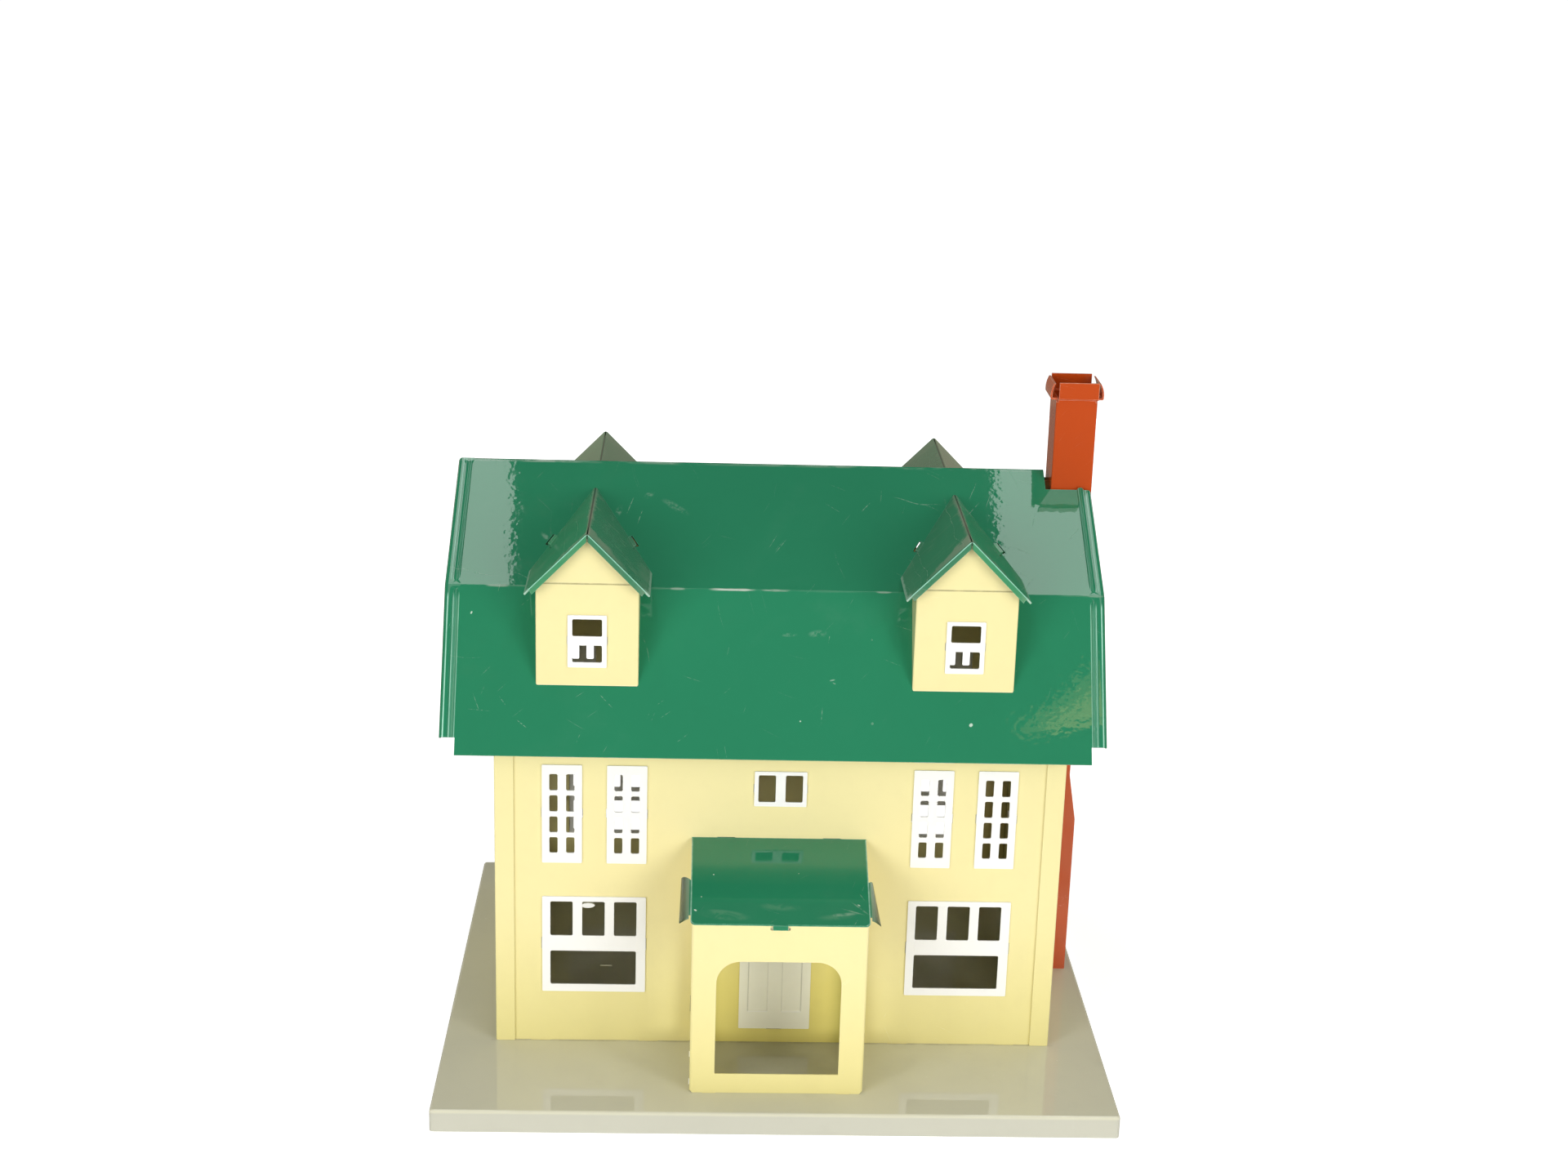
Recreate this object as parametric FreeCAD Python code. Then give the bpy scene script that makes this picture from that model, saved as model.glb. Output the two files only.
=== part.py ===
import FreeCAD, Part
import math
import os

# Painted stamped-steel toy house: a lift-off gambrel roof with four dormers,
# four wall panels tabbed to a raised tray base, a front porch, an outside
# chimney and a small lamp inside. Millimetres. +X is to the right when facing
# the front door, +Y runs from the front to the back, +Z is up. The origin is
# the centre of the base's footprint, on the surface the house stands on.

V = FreeCAD.Vector
os.makedirs("parts", exist_ok=True)

# ---------------------------------------------------------------- dimensions
SHEET = 0.8             # steel sheet of walls, roof, base and chimney
INSERT = 0.7            # sheet of the white window and door inserts

BASE_X, BASE_Y, BASE_H = 305.0, 263.0, 10.5
BASE_LIP = 7.0          # width of the turned-in rim the base stands on
WIRE_HOLE_D = 7.3
WIRE_HOLE = (-93.5, 78.5)
SPARE_SLOT = (-81.1, 9.5)

HOUSE_HX = 128.6        # half width over the gable walls
FRONT_Y = -66.6         # outer face of the front wall
REAR_Y = 110.0          # outer face of the rear wall
WALL_TOP = 178.0
CORNER_W = 8.7          # gable wall flange lapped over the front and rear

EAVE = (-82.6, 158.2)   # gambrel outline, outer surface, front half
KNEE = (-45.7, 225.3)
RIDGE = (21.7, 265.9)
ROOF_L, ROOF_R = -144.6, 137.1      # plain sheet
RAKE_W = 7.05           # beaded and rolled strip beyond the plain sheet
RAKE_Z0 = 165.1         # the strip stops this high, above the eave
ROLL_R = 1.8
BEAD_R, BEAD_RISE = 1.78, 1.0
ROOF_GAP = 0.5          # between roof underside and gable walls
NOTCH = (122.7, 10.5, 33.0)         # chimney notch: from X, Y low, Y high

DORMER_X = (-87.1, 79.8)
DORMER_W = 45.3
DORMER_Y = -67.3        # outer face of the dormer front
DORMER_Z0 = 186.1
DROOF_Y = -71.6
DROOF_APEX = 257.3
DROOF_EAVE = 229.6
DROOF_HALF = 27.55
DROOF_LIP = 2.0

PORCH_HX = 38.8
PORCH_Y = -113.7
PORCH_ZF = 93.6         # porch roof at its front edge
PORCH_ZB = 113.9        # porch roof at the house wall
PORCH_SHEET = 0.6       # sheet of the porch roof
ARCH_HX, ARCH_Z0, ARCH_Z1, ARCH_R = 27.6, 20.0, 75.3, 10.7

STACK = (125.4, 144.6, 12.0, 31.4)  # chimney stack X low, X high, Y low, Y high
STACK_JOIN = 236.9
STACK_FOLD = 301.7
STACK_TOP = 309.9
CHIM_XO = 147.9         # outer face of the wide lower chimney
CHIM_SH0, CHIM_SH1 = 91.0, 114.0
CHIM_XN = 144.0         # outer face of the chimney neck

LAMP = (0.0, 62.0)      # lamp axis
BULB_R, BULB_Z = 7.0, 52.0


# ------------------------------------------------------------------- helpers
def box(x0, x1, y0, y1, z0, z1):
    return Part.makeBox(x1 - x0, y1 - y0, z1 - z0, V(x0, y0, z0))


def face(points):
    return Part.Face(Part.makePolygon(points + [points[0]]))


def prism_yz(pts, x0, x1):
    return face([V(x0, y, z) for y, z in pts]).extrude(V(x1 - x0, 0, 0))


def prism_xz(pts, y0, y1):
    return face([V(x, y0, z) for x, z in pts]).extrude(V(0, y1 - y0, 0))


def edges_along(shape, axis, test):
    out = []
    for e in shape.Edges:
        if len(e.Vertexes) != 2:
            continue
        a, b = e.Vertexes[0].Point, e.Vertexes[1].Point
        d = b - a
        if d.Length < 1e-6:
            continue
        d.normalize()
        comp = abs({"x": d.x, "y": d.y, "z": d.z}[axis])
        if comp > 0.999 and test((a + b) * 0.5):
            out.append(e)
    return out


def rounded(shape, axis, r, test=lambda p: True):
    es = edges_along(shape, axis, test)
    return shape.makeFillet(r, es) if es else shape


def pane(x0, x1, z0, z1, r, y0, y1):
    """Rounded rectangular cutter through a sheet that faces -Y."""
    return rounded(box(x0, x1, y0, y1, z0, z1), "y", r)


def fuse(shapes):
    s = shapes[0]
    if len(shapes) > 1:
        s = s.multiFuse(shapes[1:])
    return s.removeSplitter()


def cut(shape, tools):
    return shape.cut(tools) if tools else shape


def save(node, shape):
    shape = shape.removeSplitter()
    if not shape.isValid():
        shape.fix(0.001, 0.001, 0.001)
    solids = shape.Solids
    if len(solids) == 1:
        shape = solids[0]
    else:
        shape = Part.makeCompound(solids)
    shape.exportStep("parts/%s.step" % node)
    bb = shape.BoundBox
    print("%-26s solids %d valid %s vol %9.1f  X %.1f..%.1f Y %.1f..%.1f Z %.1f..%.1f" % (
        node, len(solids), shape.isValid(), shape.Volume,
        bb.XMin, bb.XMax, bb.YMin, bb.YMax, bb.ZMin, bb.ZMax))


def line_meet(p, d, q, e):
    den = d[0] * e[1] - d[1] * e[0]
    t = ((q[0] - p[0]) * e[1] - (q[1] - p[1]) * e[0]) / den
    return (p[0] + t * d[0], p[1] + t * d[1])


def unit(a, b):
    dx, dy = b[0] - a[0], b[1] - a[1]
    n = math.hypot(dx, dy)
    return (dx / n, dy / n)


def offset_line(pts, off):
    """Open polyline moved to the right of its direction by off."""
    out = []
    n = len(pts)
    segs = []
    for i in range(n - 1):
        d = unit(pts[i], pts[i + 1])
        m = (d[1], -d[0])
        segs.append(((pts[i][0] + m[0] * off, pts[i][1] + m[1] * off), d))
    out.append(segs[0][0])
    for i in range(1, n - 1):
        out.append(line_meet(segs[i - 1][0], segs[i - 1][1], segs[i][0], segs[i][1]))
    d = segs[-1][1]
    m = (d[1], -d[0])
    out.append((pts[-1][0] + m[0] * off, pts[-1][1] + m[1] * off))
    return out


def mirror_y(p):
    return (2 * RIDGE[0] - p[0], p[1])


GAMBREL = [EAVE, KNEE, RIDGE, mirror_y(KNEE), mirror_y(EAVE)]


def mirror_rear(shape):
    """Reflect a shape through the plane of the ridge."""
    return shape.mirror(V(0, RIDGE[0], 0), V(0, 1, 0))


def place(shape, side, along, z0, plane=None):
    """Stand an insert built facing -Y on one of the four walls."""
    s = shape.copy()
    if side == "front":
        s.translate(V(along, FRONT_Y if plane is None else plane, z0))
    elif side == "rear":
        s.rotate(V(0, 0, 0), V(0, 0, 1), 180)
        s.translate(V(along, REAR_Y if plane is None else plane, z0))
    elif side == "left":
        s.rotate(V(0, 0, 0), V(0, 0, 1), -90)
        s.translate(V(-HOUSE_HX, along, z0))
    else:
        s.rotate(V(0, 0, 0), V(0, 0, 1), 90)
        s.translate(V(HOUSE_HX, along, z0))
    return s


# --------------------------------------------------- window and door inserts
def insert(w, h, panes, ear, ear_z):
    """White sheet with punched panes and a bent ear at each side."""
    s = box(-w / 2, w / 2, -INSERT, 0, 0, h)
    s = rounded(s, "y", 0.5)
    ears = []
    for sg in (-1, 1):
        a, b = sorted((sg * (w / 2 - 0.42), sg * (w / 2 + 0.18)))
        ears.append(box(a, b, -INSERT + 0.35, SHEET + 2.0, ear_z - ear / 2, ear_z + ear / 2))
    s = fuse([s] + ears)
    return cut(s, [pane(a - w / 2, b - w / 2, c, d, 0.75, -3, 3) for a, b, c, d in panes])


def wall_cutters(w, h, ear, ear_z, inset=2.0):
    """Hole behind an insert and the two slits its ears go through."""
    out = [box(-w / 2 + inset, w / 2 - inset, -2, 4, inset, h - inset)] if inset else []
    for sg in (-1, 1):
        a, b = sorted((sg * (w / 2 - 0.57), sg * (w / 2 + 0.38)))
        out.append(box(a, b, -2, 4, ear_z - ear / 2 - 0.15, ear_z + ear / 2 + 0.15))
    return out


UP_W, UP_H = 18.0, 47.6
up_cols = ((3.32, 7.08), (10.88, 14.68))
up_rows = ((4.33, 12.24), (14.6, 22.5), (24.9, 32.7), (35.0, 42.7))
upper_window = insert(UP_W, UP_H, [(a, b, UP_H - d, UP_H - c) for a, b in up_cols for c, d in up_rows], 4.2, 24.2)
upper_cut = wall_cutters(UP_W, UP_H, 4.2, 24.2)

LO_W, LO_H = 47.2, 47.7
lo_top = ((3.7, 13.9), (18.2, 28.5), (32.7, 43.0))
lower_window = insert(LO_W, LO_H, [(a, b, LO_H - 19.5, LO_H - 2.4) for a, b in lo_top] + [(3.7, 42.9, LO_H - 44.1, LO_H - 27.1)], 5.6, 24.0)
lower_cut = wall_cutters(LO_W, LO_H, 5.6, 24.0)

CE_W, CE_H = 23.6, 16.8
centre_window = insert(CE_W, CE_H, [(1.8, 9.6, 2.1, 15.1), (14.0, 21.8, 2.1, 15.1)], 3.6, 8.4)
centre_cut = wall_cutters(CE_W, CE_H, 3.6, 8.4, 1.2)

DW_W, DW_H = 17.2, 24.2
dormer_window = insert(DW_W, DW_H, [(2.05, 15.15, 14.5, 22.4), (2.05, 15.15, 2.4, 10.3)], 3.4, 12.4)
dormer_cut = wall_cutters(DW_W, DW_H, 3.4, 12.4, 1.5)

# Door insert: two tall sunk panels below, two short ones above, tab below.
DO_W, DO_H = 32.9, 66.1
door = rounded(box(-DO_W / 2, DO_W / 2, -INSERT, 0, 0, DO_H), "y", 0.5)
sunk = []


def pressed(x0, x1, z0, z1, slope_w, depth):
    """Panel pressed into the door's face, with sloped sides."""
    loops = []
    for inset, y in ((-slope_w * 0.05, -INSERT - depth * 0.05), (slope_w, -INSERT + depth)):
        pts = [V(x0 + inset, y, z0 + inset), V(x1 - inset, y, z0 + inset), V(x1 - inset, y, z1 - inset), V(x0 + inset, y, z1 - inset)]
        loops.append(Part.makePolygon(pts + [pts[0]]))
    return Part.makeLoft(loops, True, True)


for sg in (-1, 1):
    a, b = sorted((sg * 3.2, sg * 12.6))
    for z0, z1 in ((8.8, 42.2), (46.3, 60.2)):
        sunk.append(pressed(a, b, z0, z1, 0.65, 0.45))
door = cut(door, sunk)
door_tabs = [box(-3.3, 3.3, -INSERT + 0.35, SHEET + 2.0, -0.1, 0.5), box(-3.3, 3.3, -INSERT + 0.35, SHEET + 2.0, DO_H - 0.5, DO_H + 0.1)]
door = fuse([door] + door_tabs)
door_cut = [box(-3.6, 3.6, -2, 4, -0.75, 0.65), box(-3.6, 3.6, -2, 4, DO_H - 0.65, DO_H + 0.75)]

UP_X, LO_X = (98.2, 69.0), 83.6
UP_Z, LO_Z, CE_Z, DOOR_Z = 100.5, 36.0, 129.6, 17.9
SIDE_Y = (-22.4, 65.8)


# ---------------------------------------------------------------------- base
hx, hy = BASE_X / 2, BASE_Y / 2
base = box(-hx, hx, -hy, hy, 0, BASE_H)
base = rounded(base, "z", 1.6)
top_edges = [e for e in base.Edges if abs(e.BoundBox.ZMin - BASE_H) < 1e-6 and abs(e.BoundBox.ZMax - BASE_H) < 1e-6]
base = base.makeFillet(1.3, top_edges)
base = base.cut(box(-hx + SHEET, hx - SHEET, -hy + SHEET, hy - SHEET, SHEET, BASE_H - SHEET))
base = base.cut(box(-hx + BASE_LIP, hx - BASE_LIP, -hy + BASE_LIP, hy - BASE_LIP, -1, SHEET + 0.5))

TAB_L, TAB_T = 9.0, 0.8
front_tabs = [-108.0, -58.0, 58.0, 108.0]
gable_tabs = [-44.0, -5.0, 48.0, 88.0]
TAB_DROP = 2.2          # below the underside of the base top
slots = []
for x in front_tabs:
    for y0 in (FRONT_Y, REAR_Y - SHEET):
        slots.append(box(x - TAB_L / 2 - 0.3, x + TAB_L / 2 + 0.3, y0 - 0.2, y0 + SHEET + 0.2, 5, BASE_H + 1))
for y in gable_tabs:
    for x0 in (-HOUSE_HX, HOUSE_HX - SHEET):
        slots.append(box(x0 - 0.2, x0 + SHEET + 0.2, y - TAB_L / 2 - 0.3, y + TAB_L / 2 + 0.3, 5, BASE_H + 1))
porch_front_tabs = [-30.0, 30.0]
porch_side_tabs = [-103.0, -78.0]
for x in porch_front_tabs:
    slots.append(box(x - 3.3, x + 3.3, PORCH_Y - 0.2, PORCH_Y + SHEET + 0.2, 5, BASE_H + 1))
for y in porch_side_tabs:
    for x0 in (-PORCH_HX, PORCH_HX - SHEET):
        slots.append(box(x0 - 0.2, x0 + SHEET + 0.2, y - 3.3, y + 3.3, 5, BASE_H + 1))
slots.append(box(SPARE_SLOT[0] - 2.9, SPARE_SLOT[0] + 2.9, SPARE_SLOT[1] - 0.6, SPARE_SLOT[1] + 0.6, 5, BASE_H + 1))
slots.append(Part.makeCylinder(WIRE_HOLE_D / 2, 8, V(WIRE_HOLE[0], WIRE_HOLE[1], 5)))
RIVETS = [(LAMP[0] - 13.0, LAMP[1]), (LAMP[0] + 13.0, LAMP[1])]
for x, y in RIVETS:
    slots.append(Part.makeCylinder(1.7, 8, V(x, y, 5)))
# the side faces fold round the front and rear faces: a shallow seam line close to each corner
for sx in (-1, 1):
    for sy in (-1, 1):
        xa, xb = sorted((sx * (hx - 0.45), sx * (hx + 0.2)))
        ya, yb = sorted((sy * (hy - 2.15), sy * (hy - 1.7)))
        slots.append(box(xa, xb, ya, yb, -0.1, 8.9))
base = base.cut(slots)
save("base_tray", base)


# --------------------------------------------------------------------- walls
def tabs_x(xs, y0, half, z_bottom):
    return [box(x - half, x + half, y0, y0 + SHEET, z_bottom, BASE_H + 0.5) for x in xs]


TAB_Z = BASE_H - SHEET - TAB_DROP
WALL_Z0 = BASE_H + 0.02


def long_wall(y0, side):
    w = box(-HOUSE_HX + SHEET + 0.2, HOUSE_HX - SHEET - 0.2, y0, y0 + SHEET, WALL_Z0, WALL_TOP)
    parts = [w] + [box(x - TAB_L / 2, x + TAB_L / 2, y0, y0 + SHEET, TAB_Z, WALL_Z0 + 1) for x in front_tabs]
    # stiffening flange turned in along the top
    s = 1 if side == "front" else -1
    yb = sorted((y0 + (SHEET if s > 0 else 0), y0 + (SHEET if s > 0 else 0) + s * 5.0))
    parts.append(box(-118, 118, yb[0] - (0.1 if s > 0 else 0), yb[1] + (0 if s > 0 else 0.1), WALL_TOP - SHEET, WALL_TOP))
    w = fuse(parts)
    tools = []
    for sg in (-1, 1):
        for x in UP_X:
            tools += [place(c, side, sg * x, UP_Z) for c in upper_cut]
        tools += [place(c, side, sg * LO_X, LO_Z) for c in lower_cut]
    tools += [place(c, side, 0, CE_Z) for c in centre_cut]
    tools += [place(c, side, 0, DOOR_Z) for c in door_cut]
    if side == "front":
        # slits for the porch roof and porch wall tabs
        for x in (-24.0, 24.0):
            tools.append(box(x - 4.2, x + 4.2, FRONT_Y - 2, FRONT_Y + 3, PORCH_ZB - 2.3, PORCH_ZB + 0.1))
        for x0 in (-PORCH_HX, PORCH_HX - SHEET):
            for z in (30.0, 84.0):
                tools.append(box(x0 - 0.2, x0 + SHEET + 0.2, FRONT_Y - 2, FRONT_Y + 3, z - 4.2, z + 4.2))
    return w.cut(tools)


save("front_wall", long_wall(FRONT_Y, "front"))
save("rear_wall", long_wall(REAR_Y - SHEET, "rear"))

inner = offset_line(GAMBREL, SHEET + ROOF_GAP)
YF, YR = FRONT_Y - 0.05 - SHEET, REAR_Y + 0.05 + SHEET


def on_line(pts, y):
    for a, b in zip(pts, pts[1:]):
        if a[0] <= y <= b[0]:
            return a[1] + (b[1] - a[1]) * (y - a[0]) / (b[0] - a[0])


def gable(side):
    sg = -1 if side == "left" else 1
    top = [(YF, 180.5), (-66.0, 180.5), (-66.0, on_line(inner, -66.0)), inner[1], inner[2], inner[3],
           (2 * RIDGE[0] + 66.0, on_line(inner, -66.0)), (2 * RIDGE[0] + 66.0, 180.5), (YR, 180.5)]
    pts = [(YF, BASE_H + 0.02)] + top + [(YR, BASE_H + 0.02)]
    xa, xb = sorted((sg * HOUSE_HX, sg * (HOUSE_HX - SHEET)))
    s = prism_yz(pts, xa, xb)
    fa, fb = sorted((sg * HOUSE_HX, sg * (HOUSE_HX - CORNER_W)))
    parts = [s, box(fa, fb, YF, YF + SHEET, BASE_H + 0.02, 180.5), box(fa, fb, YR - SHEET, YR, BASE_H + 0.02, 180.5)]
    # rake flange turned in under the roof
    fl_out = [(-60.0, on_line(inner, -60.0)), inner[1], inner[2], inner[3], (2 * RIDGE[0] + 60.0, on_line(inner, -60.0))]
    fl_in = offset_line(fl_out, SHEET)
    ra, rb = sorted((sg * (HOUSE_HX - 0.2), sg * (HOUSE_HX - 7.0)))
    parts.append(prism_yz(fl_out + fl_in[::-1], ra, rb))
    for y in gable_tabs:
        parts.append(box(xa, xb, y - TAB_L / 2, y + TAB_L / 2, TAB_Z, WALL_Z0 + 1))
    w = fuse(parts)
    w = rounded(w, "z", 0.7, lambda p: abs(abs(p.x) - HOUSE_HX) < 1e-3 and (abs(p.y - YF) < 1e-3 or abs(p.y - YR) < 1e-3))
    tools = []
    for y in SIDE_Y:
        tools += [place(c, side, y, LO_Z) for c in lower_cut]
        tools += [place(c, side, y, UP_Z) for c in upper_cut]
    if side == "right":
        tools.append(box(110, 140, STACK[2] - 1.0, STACK[3] + 1.0, STACK_JOIN - 1.2, 280))
    return w.cut(tools)


save("left_wall", gable("left"))
save("right_wall", gable("right"))


# ------------------------------------------------------- inserts in the walls
names_up = {"front": "front", "rear": "rear"}
for side in ("front", "rear"):
    for sg, lr in ((-1, "left"), (1, "right")):
        for x, io in zip(UP_X, ("outer", "inner")):
            save("%s_upper_window_%s_%s" % (side, lr, io), place(upper_window, side, sg * x, UP_Z))
        save("%s_lower_window_%s" % (side, lr), place(lower_window, side, sg * LO_X, LO_Z))
    save("%s_centre_window" % side, place(centre_window, side, 0, CE_Z))
    save("%s_door" % side, place(door, side, 0, DOOR_Z))
for side in ("left", "right"):
    for y, fb in zip(SIDE_Y, ("front", "rear")):
        save("%s_lower_window_%s" % (side, fb), place(lower_window, side, y, LO_Z))
        save("%s_upper_window_%s" % (side, fb), place(upper_window, side, y, UP_Z))


# --------------------------------------------------------------------- porch
slope = (PORCH_ZB - PORCH_ZF) / (FRONT_Y - PORCH_Y)


def porch_z(y):
    return PORCH_ZB + (y - FRONT_Y) * slope


PT = (PORCH_SHEET + 0.1) / math.cos(math.atan(slope))   # roof sheet and gap, measured down
yb = FRONT_Y - 0.1
side_poly = [(PORCH_Y, WALL_Z0), (PORCH_Y, porch_z(PORCH_Y) - PT), (yb, porch_z(yb) - PT), (yb, WALL_Z0)]
porch = prism_yz(side_poly, -PORCH_HX, PORCH_HX)
porch = rounded(porch, "z", 1.2, lambda p: abs(p.y - PORCH_Y) < 1e-3)
inner_poly = [(PORCH_Y + SHEET, 0), (PORCH_Y + SHEET, 130), (yb + 5, 130), (yb + 5, 0)]
porch = porch.cut(prism_yz(inner_poly, -PORCH_HX + SHEET, PORCH_HX - SHEET))
arch = box(-ARCH_HX, ARCH_HX, PORCH_Y - 3, PORCH_Y + 5, ARCH_Z0, ARCH_Z1)
arch = rounded(arch, "y", ARCH_R, lambda p: p.z > ARCH_Z1 - 1)
side_arch = box(-60, 60, -104.5, -75.0, ARCH_Z0, ARCH_Z1)
side_arch = rounded(side_arch, "x", ARCH_R, lambda p: p.z > ARCH_Z1 - 1)
porch = porch.cut([arch, side_arch])
ptabs = []
for x in porch_front_tabs:
    ptabs.append(box(x - 3.0, x + 3.0, PORCH_Y, PORCH_Y + SHEET, TAB_Z, WALL_Z0 + 1))
for y in porch_side_tabs:
    for x0 in (-PORCH_HX, PORCH_HX - SHEET):
        ptabs.append(box(x0, x0 + SHEET, y - 3.0, y + 3.0, TAB_Z, WALL_Z0 + 1))
for x0 in (-PORCH_HX, PORCH_HX - SHEET):
    for z in (30.0, 84.0):
        ptabs.append(box(x0, x0 + SHEET, yb - 1, FRONT_Y + SHEET + 1.6, z - 4.0, z + 4.0))
porch = fuse([porch] + ptabs)
# slit for the roof's front tab
porch = porch.cut(box(-4.4, 4.4, PORCH_Y - 0.05, PORCH_Y + SHEET + 0.5, PORCH_ZF - 2.9, PORCH_ZF - 1.7))
# bottom corners of the folded sheet are nipped off
for sg in (-1, 1):
    a = sg * (PORCH_HX + 0.3)
    porch = porch.cut(prism_xz([(a, WALL_Z0 - 0.5), (a - sg * 2.2, WALL_Z0 - 0.5), (a, WALL_Z0 + 1.7)], PORCH_Y - 0.5, PORCH_Y + 2.0))
save("porch_walls", porch)

# Porch roof: flat sheet, rounded front corners, a flap flaring from the front
# half of each side, a tab bent over the front wall, two tabs in the house wall.
ROOF_HX = 39.5
y0, y1 = PORCH_Y - 0.15, FRONT_Y - 0.06
c = math.cos(math.atan(slope))
t = PORCH_SHEET / c
pr = prism_yz([(y0, porch_z(y0)), (y1, porch_z(y1)), (y1, porch_z(y1) - t), (y0, porch_z(y0) - t)], -ROOF_HX, ROOF_HX)
clip = rounded(box(-ROOF_HX, ROOF_HX, y0, y1 + 20, 60, 140), "z", 2.2, lambda p: p.y < y0 + 1)
pr = pr.common(clip)
parts = [pr]


def flap_profile(sg, y, out, drop):
    """Curved section of a side flap at one Y, from the roof edge outward."""
    z = porch_z(y)
    x = sg * (ROOF_HX - 0.6)
    p = [V(x, y, z), V(x + sg * (0.6 + out * 0.62), y, z - drop * 0.36), V(x + sg * (0.6 + out), y, z - drop)]
    q = [v - V(0, 0, t) for v in p]
    e = [Part.Arc(p[0], p[1], p[2]).toShape(), Part.makeLine(p[2], q[2]), Part.Arc(q[2], q[1], q[0]).toShape(), Part.makeLine(q[0], p[0])]
    return Part.Wire(e)


FLAP_Y = (-110.4, -84.6)        # ends of the flaps
for sg in (-1, 1):
    rear = flap_profile(sg, FLAP_Y[1], 4.4 if sg < 0 else 2.0, 3.9)
    front = flap_profile(sg, FLAP_Y[0], 5.0, 4.1)
    f = Part.makeLoft([rear, front], True, True)
    # the rear end is cut slantwise, the outer front corner is rounded
    a, b = sg * (ROOF_HX - 1.0), sg * (ROOF_HX + 5.2)
    f = f.cut(face([V(a, -91.6, 60), V(b, -84.6, 60), V(b, -75, 60), V(a, -75, 60)]).extrude(V(0, 0, 80)))
    out_x = ROOF_HX + 5.0
    r = rounded(box(min(sg * 36, sg * out_x), max(sg * 36, sg * out_x), FLAP_Y[0], -75, 60, 140), "z", 2.2,
                lambda p: p.y < -109 and abs(p.x) > ROOF_HX)
    parts.append(f.common(r))
tab = [(PORCH_Y - 0.85, porch_z(PORCH_Y) - 0.35), (PORCH_Y - 0.5, porch_z(PORCH_Y) + 0.0), (PORCH_Y + 0.3, porch_z(PORCH_Y + 0.3)), (PORCH_Y + 0.3, porch_z(PORCH_Y + 0.3) - t),
       (PORCH_Y - 0.25, porch_z(PORCH_Y) - t - 0.05), (PORCH_Y - 0.25, PORCH_ZF - 1.9), (PORCH_Y + SHEET + 1.2, PORCH_ZF - 1.9), (PORCH_Y + SHEET + 1.2, PORCH_ZF - 2.5), (PORCH_Y - 0.85, PORCH_ZF - 2.5)]
parts.append(prism_yz(tab, -3.3, 3.3))
for x in (-24.0, 24.0):
    parts.append(box(x - 4.0, x + 4.0, y1 - 1.5, FRONT_Y + SHEET + 1.5, PORCH_ZB - 1.5, PORCH_ZB - 0.7))
pr = fuse(parts)
# relief slits between the front corners and the flaps
for sg in (-1, 1):
    a, b = sorted((sg * (ROOF_HX - 0.05), sg * (ROOF_HX + 0.75)))
    pr = pr.cut(box(a, b, -116, -108.6, 60, 140))
save("porch_roof", pr)


# ------------------------------------------------------------------ main roof
outer = GAMBREL
under = offset_line(outer, SHEET)
sheet = prism_yz(outer + under[::-1], ROOF_L, ROOF_R)


def near(p, q, tol=0.05):
    return abs(p.y - q[0]) < tol and abs(p.z - q[1]) < tol


folds = [KNEE, RIDGE, mirror_y(KNEE)]
sheet = rounded(sheet, "x", 1.3, lambda p: any(near(p, q) for q in folds))
roof = [sheet]
# rolled hem along each eave
for q, s in ((EAVE, 1), (mirror_y(EAVE), -1)):
    d = unit(EAVE, KNEE)
    cy, cz = q[0] + s * (d[0] * 0.9 + d[1] * 0.9), q[1] + d[1] * 0.9 - d[0] * 0.9
    roof.append(Part.makeCylinder(0.9, ROOF_R - ROOF_L, V(ROOF_L, cy, cz), V(1, 0, 0)))

# beaded, rolled strip along each rake
t0 = (RAKE_Z0 - EAVE[1]) / (KNEE[1] - EAVE[1])
P0 = (EAVE[0] + t0 * (KNEE[0] - EAVE[0]), RAKE_Z0)
RPATH = [P0, KNEE, RIDGE, mirror_y(KNEE), mirror_y(P0)]


def strip(sg, x0):
    """Sweep the strip's section up and over the roof."""
    d = unit(P0, KNEE)
    m = (d[1], -d[0])       # inward normal in Y, Z

    def at(x, n):
        return V(x0 + sg * x, P0[0] - m[0] * n, P0[1] - m[1] * n)

    w = RAKE_W - ROLL_R
    k = ROLL_R * (1 - math.sqrt(0.5))
    ri = ROLL_R - SHEET
    ki = ri * math.sqrt(0.5)
    e = [Part.makeLine(at(-0.4, 0), at(w, 0)),
         Part.Arc(at(w, 0), at(RAKE_W - k, -k), at(RAKE_W, -ROLL_R)).toShape(),
         Part.makeLine(at(RAKE_W, -ROLL_R), at(RAKE_W, -3.0)),
         Part.makeLine(at(RAKE_W, -3.0), at(RAKE_W - SHEET, -3.0)),
         Part.makeLine(at(RAKE_W - SHEET, -3.0), at(RAKE_W - SHEET, -ROLL_R)),
         Part.Arc(at(RAKE_W - SHEET, -ROLL_R), at(w + ki, -ROLL_R + ki), at(w, -SHEET)).toShape(),
         Part.makeLine(at(w, -SHEET), at(-0.4, -SHEET)),
         Part.makeLine(at(-0.4, -SHEET), at(-0.4, 0))]
    prof = Part.Wire(e)
    path = Part.Wire([Part.makeLine(V(x0, a[0], a[1]), V(x0, b[0], b[1])) for a, b in zip(RPATH, RPATH[1:])])
    return path.makePipeShell([prof], True, False, 1)


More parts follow.
